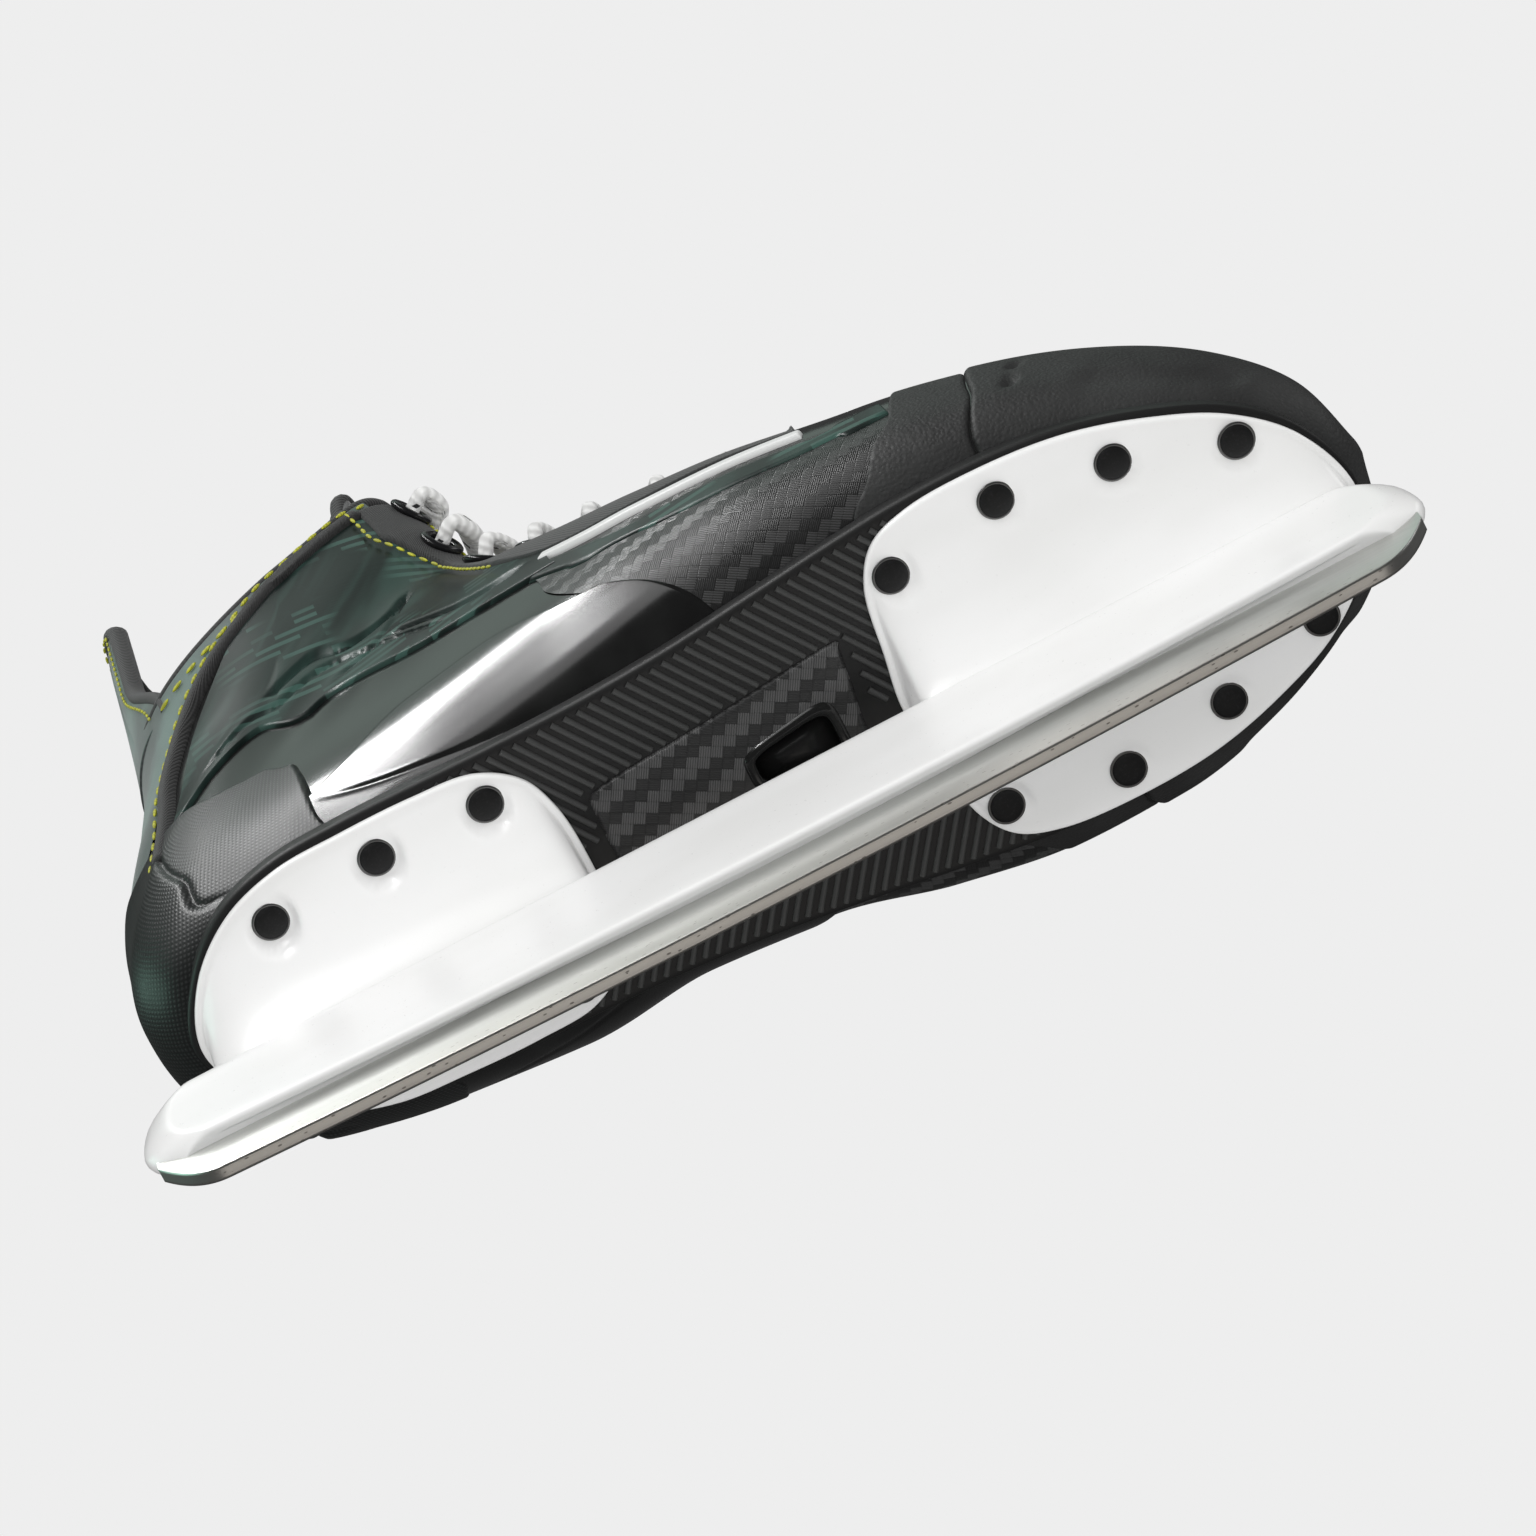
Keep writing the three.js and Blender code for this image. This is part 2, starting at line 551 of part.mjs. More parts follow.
addNode('heel_wrap', surface(solid(heel).subtract(underCut)), 0x17191b, 0.6);

// ---------------------------------------------------------------- inside of the boot
let liner = solid(panel({
  s0: () => 0.09, s1: (a) => rimStation(a) - 0.001, a0: -120, a1: 120, step: ANGLE_STEP * 2,
  inside: LINER_IN, outside: LINER_OUT,
}));
for (const stud of STUDS) {
  const low = new THREE.Vector3(stud.x, 0, soleZ(stud.x));
  const high = new THREE.Vector3(stud.x, 0, soleZ(stud.x) + 20);
  liner = liner.subtract(solid(cylinderBetween(low, high, NUT_ACROSS / 2 / Math.cos(30 * DEG) + 0.5)));
}
for (const r of RIVETS.filter(({ x, y, seat }) => seat + 2.4 > shellFloorAt(x, y, LINER_OUT))) {
  const low = new THREE.Vector3(r.x, r.y, r.seat - 2);
  const high = new THREE.Vector3(r.x, r.y, r.seat + 1.7);
  liner = liner.subtract(solid(cylinderBetween(low, high, TAIL_RADIUS + 0.5, 8)));
}
addNode('liner', surface(liner), 0x2a2c2e, 0.9);
addNode('footbed', panel({
  s0: () => 0.1, s1: () => 0.785, a0: -30, a1: 30, step: ANGLE_STEP * 2,
  inside: FOOTBED_IN, outside: FOOTBED_OUT,
}), 0x3b3f42, 0.95);
addNode('tongue_lower', panel({
  s0: () => THROAT_START - 0.05, s1: () => TONGUE_JOINT - 0.003, a0: 120, a1: 240,
  inside: TONGUE_IN, outside: TONGUE_OUT,
}), 0x23272a, 0.9);
const tongueTaper = (s) => 52 * Math.sqrt(1 - 0.45 * (Math.max(s - TONGUE_JOINT, 0) / (1.2 - TONGUE_JOINT)) ** 3);
addNode('tongue_upper', tongueShape({
  s0: () => TONGUE_JOINT + 0.003, s1: (a) => 1.2 - 0.03 * (Math.abs(a - 180) / 40) ** 3, half: tongueTaper,
  middle: 180, rows: 6, columns: 8, inside: TONGUE_IN, outside: TONGUE_OUT,
}), 0x23272a, 0.9);
addNode('tendon_guard', tongueShape({
  s0: (a) => rimStation(a) + 0.0015, s1: (a) => 1.2 - 0.035 * (Math.abs(a) / 26) ** 3, middle: 0,
  half: (s) => 36 - (11 * Math.max(s - 1, 0)) / 0.2, rows: 7, columns: 8, inside: -4.5, outside: 0.5,
}), 0x7f8f8a, 0.8);

// ---------------------------------------------------------------- lace
const LACE_RINGS = 230;

function lacePoints(side) {
  const points = [];
  const add = (s, a, offset) => points.push(skinPoint(s, a, offset));
  const under = SHELL_IN - 0.8 - LACE_RADIUS;
  const over = TRIM_OUT + 1.9 + 0.9 + LACE_RADIUS;
  let here = side;
  EYELET_STATIONS.forEach((s, row) => {
    const angle = (t) => here * t;
    const next = EYELET_STATIONS[row + 1];
    add(s - 0.001, angle(EYELET_ANGLE + 0.5), under);
    add(s, angle(EYELET_ANGLE), SHELL_IN + 1);
    add(s, angle(EYELET_ANGLE), TRIM_OUT + 1.5);
    add(s + 0.002, angle(EYELET_ANGLE + 1), over);
    add(s + 0.008, angle(THROAT_ANGLE - 3), over);
    if (next === undefined) {
      add(s + 0.014, angle(THROAT_ANGLE + 4), 1.5);
      add(s + 0.02, angle(THROAT_ANGLE + 9), -2.5);
      add(s + 0.022, angle(THROAT_ANGLE + 13), -6);
      return;
    }
    const lift = here * side * (row % 2 === 0 ? 1 : -1) * side * (LACE_RADIUS + 0.5);
    const mix = (t) => s + (next - s) * t;
    add(mix(0.25), angle(THROAT_ANGLE + 6), over - 2);
    add(mix(0.5), 180, -1.2 + lift);
    add(mix(0.76), -angle(THROAT_ANGLE + 7), under + 1.2);
    add(next - 0.009, -angle(THROAT_ANGLE - 1), under);
    here = -here;
  });
  return points;
}

const outerStrand = lacePoints(-1);
const innerStrand = lacePoints(1);
const bar = [-160, -180, 160].map((a) => skinPoint(EYELET_STATIONS[0] - 0.006, a, SHELL_IN - 0.8 - LACE_RADIUS));
const lacePath = new THREE.CatmullRomCurve3([...outerStrand.reverse(), ...bar, ...innerStrand], false, 'centripetal');
addNode('lace', closedTube(lacePath.getSpacedPoints(LACE_RINGS), LACE_RADIUS, 4), 0xf5f5f3, 0.9);

// ---------------------------------------------------------------- blade holder
const HOLDER_HALF = HOLDER_LENGTH / 2;
const rocker = (x) => (x * x) / (2 * ROCKER_RADIUS);

function stadium(halfLength, halfWidth, count) {
  const loop = [];
  for (let k = 0; k < count; k += 1) {
    const t = (2 * Math.PI * k) / count;
    const c = Math.cos(t);
    const flat = Math.sign(c) * (1 - (1 - Math.abs(c)) ** 1.6);
    const bow = Math.min(1, Math.sqrt(Math.max(1 - flat ** 2, 0)) * 3.2);
    loop.push(new THREE.Vector3(flat * halfLength, Math.sign(Math.sin(t)) * bow * halfWidth, 0));
  }
  return loop;
}

const barLevels = [[RUNNER_EXPOSED, -7, 0.72, 1], [RUNNER_EXPOSED + 4, -2, 0.76, 0.9],
  [(RUNNER_EXPOSED + BRIDGE_TOP) / 2 - 3, 0, 0.82, 0.6], [BRIDGE_TOP - 7, -1.5, 0.92, 0.2], [BRIDGE_TOP - 2, -5, 0.99, 0],
  [BRIDGE_TOP, -9, 0.94, 0]];
let holder = solid(loopStack(barLevels.map(([z, reach, width, bend]) =>
  stadium(HOLDER_HALF + reach, (HOLDER_WIDTH / 2) * width, 36).map((p) =>
    new THREE.Vector3(p.x, p.y, z + bend * rocker(p.x))))));

const flareAt = (t) => t ** 1.9;

function towerLoops(half, inset, base) {
  const outline = planLoop(half, 32, -inset);
  const reach = Math.max(...outline.map((p) => Math.abs(p.y)));
  const neck = Math.max(HOLDER_WIDTH / 2 - 0.6 - inset, 1.2) / reach;
  const loops = [];
  for (let k = 0; k <= 5; k += 1) {
    const t = k / 5;
    const squeeze = neck + (1 - neck) * flareAt(t);
    loops.push(outline.map((p) => new THREE.Vector3(
      p.x, p.y * squeeze, base + (soleZ(p.x) - FLANGE_THICKNESS - base) * t)));
  }
  return { outline, loops };
}

for (const half of [FRONT_FLANGE, HEEL_FLANGE]) {
  const wall = towerLoops(half, 1.4, BRIDGE_TOP - 9);
  const flange = planLoop(half, 32);
  const loops = [...wall.loops, atSole(flange, -FLANGE_THICKNESS + 0.7), atSole(flange, -GAP)];
  holder = holder.add(solid(loopStack(loops)));
}
for (const half of [FRONT_FLANGE, HEEL_FLANGE]) {
  const pocket = towerLoops(half, 1.4 + TOWER_WALL * 2, BRIDGE_TOP - 2);
  const mouth = planLoop(half, 32, -(1.4 + TOWER_WALL * 2));
  const core = solid(loopStack([...pocket.loops.map((loop) => loop.map((p) => p.clone().add(
    new THREE.Vector3(0, 0, 1.6)))), atSole(mouth, 6)]));
  let keep = null;
  for (const stud of STUDS) {
    const boss = solid(cylinderBetween(new THREE.Vector3(stud.x, 0, BRIDGE_TOP - 10),
      new THREE.Vector3(stud.x, 0, soleZ(stud.x) + 8), STUD_RADIUS + 3, 10));
    keep = keep === null ? boss : keep.add(boss);
  }
  for (const r of RIVETS) {
    const boss = solid(cylinderBetween(new THREE.Vector3(r.x, r.y, BRIDGE_TOP - 10),
      new THREE.Vector3(r.x, r.y, soleZ(r.x) + 8), RIVET_HEAD_RADIUS + 1.6, 8));
    keep = keep.add(boss);
  }
  holder = holder.subtract(core.subtract(keep));
}

// ---------------------------------------------------------------- runner and its two studs
function runnerShape(grow) {
  const reach = HOLDER_HALF - 2.2 + grow;
  const shape = new THREE.Shape();
  const foot = reach - 13;
  const top = RUNNER_DEPTH + grow;
  shape.moveTo(-foot, rocker(foot) - grow);
  for (let k = 1; k <= 13; k += 1) {
    const x = -foot + (2 * foot * k) / 13;
    shape.lineTo(x, rocker(x) - grow - (Math.abs(x) < foot / 13 + 0.1 ? rocker(x) : 0));
  }
  shape.quadraticCurveTo(reach - 1, rocker(foot) + 1.5, reach, 17);
  shape.lineTo(reach - 1.5, top);
  shape.lineTo(-reach + 1.5, top);
  shape.lineTo(-reach, 17);
  shape.quadraticCurveTo(-reach + 1, rocker(foot) + 1.5, -foot, rocker(foot) - grow);
  return shape;
}

function runnerSolid(grow) {
  const wide = RUNNER_THICKNESS + 2 * grow;
  const geometry = new THREE.ExtrudeGeometry(runnerShape(grow), { depth: wide, bevelEnabled: false, curveSegments: 5 });
  geometry.rotateX(Math.PI / 2);
  geometry.translate(0, wide / 2, 0);
  return geometry;
}

holder = holder.subtract(solid(runnerSolid(GAP)));
for (const stud of STUDS) {
  const low = new THREE.Vector3(stud.x, 0, RUNNER_DEPTH - 2);
  const high = new THREE.Vector3(stud.x, 0, soleZ(stud.x) + 10);
  holder = holder.subtract(solid(cylinderBetween(low, high, STUD_RADIUS + GAP + 0.1)));
}
for (const r of RIVETS) {
  const low = new THREE.Vector3(r.x, r.y, soleZ(r.x) - 20);
  const high = new THREE.Vector3(r.x, r.y, soleZ(r.x) + 4);
  holder = holder.subtract(solid(cylinderBetween(low, high, RIVET_RADIUS + GAP, 8)));
  r.head = soleZ(r.x) - FLANGE_THICKNESS - 0.6;
  const face = new THREE.Vector3(r.x, r.y, r.head);
  holder = holder.subtract(solid(cylinderBetween(low, face, RIVET_HEAD_RADIUS + 0.6, 10)));
}
addNode('blade_holder', surface(holder), WHITE, 0.25);
addNode('runner', runnerSolid(0), STEEL, 0.25, 1);

// A stud has two flats as wide apart as the runner is thick, so it slides out through the blade's slot.
function flatSided(x, z, radius) {
  const limit = Math.asin(RUNNER_THICKNESS / 2 / radius);
  const loop = [];
  for (const turn of [0, Math.PI]) {
    for (let k = -2; k <= 2; k += 1) {
      const a = turn + (k / 2) * limit;
      loop.push(new THREE.Vector3(x + radius * Math.cos(a), radius * Math.sin(a), z));
    }
  }
  return loop;
}

for (const stud of STUDS) {
  const z0 = RUNNER_DEPTH + GAP;
  const z1 = soleZ(stud.x) + SHELL_FLOOR + 4;
  addNode(`stud_${stud.name}`, surface(solid(loopStack([
    flatSided(stud.x, z0, STUD_RADIUS),
    flatSided(stud.x, z1 - 0.6, STUD_RADIUS),
    flatSided(stud.x, z1, STUD_RADIUS - 0.6),
  ]))), STEEL, 0.35, 1);
  const floors = [-5, 0, 5].map((dx) => shellFloorAt(stud.x + dx, 0, SHELL_IN));
  const n0 = Math.max(...floors, soleZ(stud.x) + SHELL_FLOOR) + GAP + 0.3;
  const hex = [];
  const ring = [];
  for (let k = 0; k < 6; k += 1) {
    const a = (k * 60 + 30) * DEG;
    const r = NUT_ACROSS / 2 / Math.cos(30 * DEG);
    hex.push(new THREE.Vector3(stud.x + r * Math.cos(a), r * Math.sin(a), n0));
    ring.push(new THREE.Vector3(stud.x + r * Math.cos(a), r * Math.sin(a), n0 + 3.4));
  }
  const hole = cylinderBetween(new THREE.Vector3(stud.x, 0, n0 - 2), new THREE.Vector3(stud.x, 0, n0 + 6),
    STUD_RADIUS + GAP, 10);
  addNode(`nut_${stud.name}`, surface(solid(loopStack([hex, ring])).subtract(solid(hole))), 0x55585a, 0.4, 1);
}

// ---------------------------------------------------------------- rivets
const counters = {};
for (const r of RIVETS) {
  const label = `rivet_${r.front ? 'front' : 'heel'}_${r.inner ? 'medial' : 'lateral'}`;
  counters[label] = (counters[label] ?? 0) + 1;
  const head = r.head - GAP;
  const tail = r.seat + GAP;
  const profile = [[0, head - 1.3], [RIVET_HEAD_RADIUS * 0.7, head - 1.2], [RIVET_HEAD_RADIUS, head - 0.5],
    [RIVET_HEAD_RADIUS, head], [RIVET_RADIUS, head], [RIVET_RADIUS, tail], [TAIL_RADIUS, tail], [TAIL_RADIUS, tail + 0.8], [0, tail + 0.8]];
  addNode(`${label}_${counters[label]}`, turned(profile, new THREE.Vector3(r.x, r.y, 0), up, 8), 0x222426, 0.35, 0.6);
}

export default skate;
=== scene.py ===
"""Right-foot ice hockey skate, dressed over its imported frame.

The boot's outside is one form, given by sections that fan out from the toe round the heel to the
collar. Every shell, wrap, seam and eyelet is laid on that form by a station along it and an angle
round it, so pieces that touch in life touch here. Sizes are in millimetres until a mesh is made.
"""

import logging
import math
from dataclasses import dataclass
from enum import Enum
from typing import Callable, Iterable, Sequence

import bmesh
import bpy
import numpy as np
from mathutils import Matrix, Vector


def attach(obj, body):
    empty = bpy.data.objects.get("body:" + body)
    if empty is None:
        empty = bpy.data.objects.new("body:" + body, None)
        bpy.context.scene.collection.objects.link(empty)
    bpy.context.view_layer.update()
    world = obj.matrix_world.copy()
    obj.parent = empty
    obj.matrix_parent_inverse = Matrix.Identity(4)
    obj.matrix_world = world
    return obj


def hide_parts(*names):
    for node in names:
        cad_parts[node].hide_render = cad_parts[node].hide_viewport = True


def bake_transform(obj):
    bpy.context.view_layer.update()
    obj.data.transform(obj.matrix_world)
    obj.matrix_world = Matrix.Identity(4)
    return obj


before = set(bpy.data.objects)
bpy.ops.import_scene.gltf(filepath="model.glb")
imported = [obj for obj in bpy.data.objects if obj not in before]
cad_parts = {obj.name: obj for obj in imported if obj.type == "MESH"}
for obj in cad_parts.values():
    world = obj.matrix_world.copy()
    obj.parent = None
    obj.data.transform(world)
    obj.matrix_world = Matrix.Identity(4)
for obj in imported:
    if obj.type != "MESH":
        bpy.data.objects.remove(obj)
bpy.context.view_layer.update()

LOG = logging.getLogger("skate")
MM = 0.001
Array = np.ndarray
Piece = bpy.types.Object
Material = bpy.types.Material
Socket = bpy.types.NodeSocket
Pair = tuple[float, float]


class Side(Enum):
    """The two sides of a right boot."""

    LATERAL = -1
    MEDIAL = 1

    @property
    def label(self) -> str:
        """The side's name as the frame's nodes spell it."""
        return self.name.lower()


# ---- nodes
def add_node(tree: bpy.types.NodeTree, kind: str, sockets: "dict[str | int, object] | None" = None,
             **settings: object) -> bpy.types.Node:
    """Add one node to a shader or geometry tree.

    Args:
        tree: the tree.
        kind: the node's type.
        sockets: what each input holds: a plain value, a socket or a Signal.
        settings: the node's own properties, set before its sockets.

    Returns:
        The node.
    """
    node = tree.nodes.new(kind)
    for key, value in settings.items():
        setattr(node, key, value)
    for key, value in (sockets or {}).items():
        source = value.socket if isinstance(value, Signal) else value
        if isinstance(source, Socket):
            tree.links.new(source, node.inputs[key])
        else:
            node.inputs[key].default_value = source
    return node


class Signal:
    """A number inside a material that adds, multiplies and compares like a plain one."""

    def __init__(self, tree: bpy.types.NodeTree, socket: Socket) -> None:
        """Wrap an output socket of the given tree."""
        self.tree = tree
        self.socket = socket

    def _math(self, operation: str, *others: "Signal | float", clamp: bool = False) -> "Signal":
        """Feed this value and others through one Math node, held between 0 and 1 if clamped."""
        inputs = dict(enumerate((self, *others)))
        node = add_node(self.tree, "ShaderNodeMath", inputs, operation=operation, use_clamp=clamp)
        return Signal(self.tree, node.outputs[0])

    def __add__(self, other: "Signal | float") -> "Signal":
        """Sum."""
        return self._math("ADD", other)

    def __sub__(self, other: "Signal | float") -> "Signal":
        """Difference."""
        return self._math("SUBTRACT", other)

    def __mul__(self, other: "Signal | float") -> "Signal":
        """Product."""
        return self._math("MULTIPLY", other)

    def __truediv__(self, other: "Signal | float") -> "Signal":
        """Quotient."""
        return self._math("DIVIDE", other)

    __radd__ = __add__
    __rmul__ = __mul__

    def __rsub__(self, other: float) -> "Signal":
        """A number less this value."""
        return (self * -1.0) + other

    def floor(self) -> "Signal":
        """Round down."""
        return self._math("FLOOR")

    def wrap(self, period: float) -> "Signal":
        """Position within a repeat of the given length."""
        return self._math("FLOORED_MODULO", period)

    def over(self, limit: "Signal | float") -> "Signal":
        """One where this is greater than the limit, else zero."""
        return self._math("GREATER_THAN", limit)

    def under(self, limit: "Signal | float") -> "Signal":
        """One where this is less than the limit, else zero."""
        return self._math("LESS_THAN", limit)

    def size(self) -> "Signal":
        """Absolute value."""
        return self._math("ABSOLUTE")

    def sine(self) -> "Signal":
        """Sine of this in radians."""
        return self._math("SINE")

    def capped(self) -> "Signal":
        """Hold between 0 and 1."""
        return self._math("ADD", 0.0, clamp=True)

    def ramp(self, low: float, high: float) -> "Signal":
        """Smooth passage from 0 to 1 as this goes from low to high."""
        inputs = {"Value": self, "From Min": low, "From Max": high}
        node = add_node(self.tree, "ShaderNodeMapRange", inputs, interpolation_type="SMOOTHSTEP")
        return Signal(self.tree, node.outputs["Result"])


class Bench:
    """One material being made, with the helpers that its finish needs."""

    def __init__(self, name: str) -> None:
        """Start an empty material with one surface shader."""
        self.material = bpy.data.materials.new(name)
        self.material.use_nodes = True
        self.tree = self.material.node_tree
        self.shader = self.tree.nodes["Principled BSDF"]

    def _split(self, vector: Socket) -> tuple[Signal, Signal, Signal]:
        """A vector's three numbers."""
        parts = add_node(self.tree, "ShaderNodeSeparateXYZ", {0: vector}).outputs
        return Signal(self.tree, parts[0]), Signal(self.tree, parts[1]), Signal(self.tree, parts[2])

    def lay(self) -> tuple[Signal, Signal]:
        """Millimetres along and round the boot, or whatever the mesh's own map holds."""
        u, v, _ = self._split(add_node(self.tree, "ShaderNodeUVMap", uv_map="lay").outputs["UV"])
        return u, v

    def place(self) -> tuple[Signal, Signal, Signal]:
        """Position on the object in millimetres."""
        x, y, z = self._split(add_node(self.tree, "ShaderNodeTexCoord").outputs["Object"])
        return x * 1000.0, y * 1000.0, z * 1000.0

    def join(self, x: Signal, y: Signal, z: "Signal | float" = 0.0) -> Socket:
        """Three signals as one vector socket."""
        return add_node(self.tree, "ShaderNodeCombineXYZ", {"X": x, "Y": y, "Z": z}).outputs[0]

    def noise(self, vector: Socket, scale: float, detail: float = 2.0) -> Signal:
        """Cloudy noise over a vector, about 0.5."""
        inputs = {"Vector": vector, "Scale": scale, "Detail": detail}
        return Signal(self.tree, add_node(self.tree, "ShaderNodeTexNoise", inputs).outputs["Fac"])

    def cells(self, vector: Socket, scale: float, feature: str = "F1") -> Signal:
        """Distance to the nearest of scattered points."""
        node = add_node(self.tree, "ShaderNodeTexVoronoi", {"Vector": vector, "Scale": scale}, feature=feature)
        return Signal(self.tree, node.outputs["Distance"])

    def blend(self, amount: "Signal | float", low: "Sequence[float] | Socket",
              high: "Sequence[float] | Socket") -> Socket:
        """A colour between two colours.

        Args:
            amount: 0 gives the first colour and 1 the second.
            low: first colour, or a socket that carries it.
            high: second colour, or a socket that carries it.

        Returns:
            The mixed colour's socket.
        """
        ends = [c if isinstance(c, Socket) else (*c[:3], 1.0) for c in (low, high)]
        inputs = {0: amount, 6: ends[0], 7: ends[1]}
        return add_node(self.tree, "ShaderNodeMix", inputs, data_type="RGBA").outputs[2]

    def colour(self, value: Socket) -> None:
        """Take the base colour from a socket."""
        self.tree.links.new(value, self.shader.inputs["Base Color"])

    def roughness(self, value: Signal) -> None:
        """Take the roughness from a signal."""
        self.tree.links.new(value.socket, self.shader.inputs["Roughness"])

    def fixed(self, **values: float) -> None:
        """Set plain numbers on shader sockets; an underscore stands for a space."""
        for name, value in values.items():
            self.shader.inputs[name.replace("_", " ")].default_value = value

    def relief(self, height: Signal, depth_mm: float, strength: float = 1.0) -> None:
        """Bump the surface by a height signal of 0 to 1."""
        inputs = {"Height": height, "Distance": depth_mm * MM, "Strength": strength}
        node = add_node(self.tree, "ShaderNodeBump", inputs)
        self.tree.links.new(node.outputs["Normal"], self.shader.inputs["Normal"])


# ---- finishes
@dataclass(frozen=True)
class GrainedMoulding:
    """Black moulding with a fine leather grain, for the toe cap and the wraps behind it."""

    tone: float = 0.020
    grain_mm: float = 0.75

    def make(self) -> Material:
        """Build the material."""
        b = Bench("toe_grain_finish")
        x, y, z = b.place()
        spot = b.join(x, y, z)
        grain = b.cells(spot, 1.0 / self.grain_mm, "SMOOTH_F1")
        pores = b.noise(spot, 1.9, 3.0)
        wear = b.noise(spot, 0.035, 3.0)
        worn = (self.tone * 1.7, self.tone * 1.75, self.tone * 1.72)
        b.colour(b.blend(wear.ramp(0.35, 0.7), (self.tone,) * 3, worn))
        b.roughness(0.43 + grain * 0.22 + wear * 0.1)
        b.relief(grain * 0.75 + pores * 0.45, 0.22, 0.9)
        b.fixed(Specular_IOR_Level=0.45)
        return b.material


@dataclass(frozen=True)
class GlossShell:
    """Smooth lacquered black shell with a trace of fibre under the lacquer."""

    tone: float = 0.006

    def make(self) -> Material:
        """Build the material."""
        b = Bench("shell_gloss_finish")
        u, v = b.lay()
        cloud = b.noise(b.join(u, v), 0.06, 3.0)
        pale = (self.tone * 2.2, self.tone * 2.3, self.tone * 2.2)
        b.colour(b.blend(cloud.ramp(0.3, 0.75), (self.tone,) * 3, pale))
        b.roughness(0.15 + cloud * 0.06)
        b.fixed(Coat_Weight=0.2, Coat_Roughness=0.12, Specular_IOR_Level=0.5)
        return b.material


@dataclass(frozen=True)
class FibreTwill:
    """Woven fibre under clear coat: square tows that step in a two-by-two twill. Its colour is partly the weave's
    own tone and partly painted sheen: one tow direction and the fine fibre stripes are painted lighter, as the
    fibres' directional reflection would show them.
    """

    name: str = "twill_finish"
    tow_mm: float = 2.3
    dark: float = 0.006
    light: float = 0.052
    turn: float = 1.13

    def make(self) -> Material:
        """Build the material."""
        b = Bench(self.name)
        u, v = b.lay()
        c, s = math.cos(self.turn), math.sin(self.turn)
        p = u * c + v * s
        q = v * c - u * s
        column = (p / self.tow_mm).floor()
        row = (q / self.tow_mm).floor()
        warp = (column + row).wrap(4.0).under(1.5)
        thread = 2.0 * math.pi / (self.tow_mm / 5.0)
        along = ((p * thread).sine() * 0.5 + 0.5)
        across = ((q * thread).sine() * 0.5 + 0.5)
        stripe = warp * along + (1.0 - warp) * across
        edge_p = ((p / self.tow_mm).wrap(1.0) - 0.5).size().ramp(0.40, 0.5)
        edge_q = ((q / self.tow_mm).wrap(1.0) - 0.5).size().ramp(0.40, 0.5)
        cloud = b.noise(b.join(u, v), 0.09, 2.0)
        # Painted sheen on top of the weave's own tone: the warp tows and the fine fibre stripes are lighter in
        # colour, standing in for the fibres' directional reflection.
        shade = (warp * 0.35 + 0.05 + stripe * warp * 0.55 + stripe * 0.12) * (0.5 + cloud)
        tone = (shade - edge_p * 0.25 - edge_q * 0.25).capped()
        b.colour(b.blend(tone, (self.dark,) * 3, (self.light,) * 3))
        b.roughness(0.38 - warp * 0.12 + stripe * 0.12)
        b.relief(stripe * 0.55 + warp * 0.35 - edge_p * 0.3 - edge_q * 0.3, 0.09, 0.8)
        b.fixed(Coat_Weight=0.25, Coat_Roughness=0.28)
        return b.material


@dataclass(frozen=True)
class HeelKnit:
    """Close knit under matte resin, darker where the heel is scuffed."""

    pitch_mm: float = 0.95

    def make(self) -> Material:
        """Build the material."""
        b = Bench("heel_knit_finish")
        u, v = b.lay()
        k = 2.0 * math.pi / self.pitch_mm
        stitch = ((u * k).sine() * 0.5 + 0.5) * ((v * k).sine() * 0.5 + 0.5)
        scuff = b.noise(b.join(u, v), 0.08, 4.0)
        amount = (stitch * 0.8 + scuff * 0.4 - 0.1).capped()
        b.colour(b.blend(amount, (0.004, 0.005, 0.005), (0.026, 0.029, 0.028)))
        b.roughness(0.36 + scuff * 0.2 - stitch * 0.08)
        b.relief(stitch, 0.07, 0.8)
        b.fixed(Coat_Weight=0.2, Coat_Roughness=0.3)
        return b.material


@dataclass(frozen=True)
class QuarterSkin:
    """Dark green-grey quarter with broken bars of a lighter tone under a satin coat."""

    name: str = "quarter_finish"
    deep: tuple[float, float, float] = (0.005, 0.011, 0.0095)
    pale: tuple[float, float, float] = (0.045, 0.105, 0.086)
    bar_mm: float = 1.75

    def make(self) -> Material:
        """Build the material."""
        b = Bench(self.name)
        u, v = b.lay()
        x, _, z = b.place()
        bar = (z / self.bar_mm).wrap(2.0).over(1.0)
        lane = b.noise(b.join(x, z), 0.030, 1.0).ramp(0.44, 0.52)
        cell = b.join((x / 5.0).floor() * 2.3, (z / (self.bar_mm * 2.0)).floor() * 3.7)
        block = b.noise(cell, 0.9, 0.0).over(0.46)
        camo = bar * lane * block
        mesh = ((u * 9.0).sine() * (v * 9.0).sine()) * 0.5 + 0.5
        cloud = b.noise(b.join(u, v * 0.6), 0.05, 2.0)
        ground = b.blend(cloud.ramp(0.42, 0.62), self.deep, tuple(c * 0.45 for c in self.pale))
        b.colour(b.blend((camo * 0.8).capped(), ground, self.pale))
        b.roughness(0.28 + cloud * 0.14 - camo * 0.05)
        b.relief(mesh, 0.015, 0.3)
        b.fixed(Coat_Weight=0.05, Coat_Roughness=0.25, Specular_IOR_Level=0.32)
        return b.material


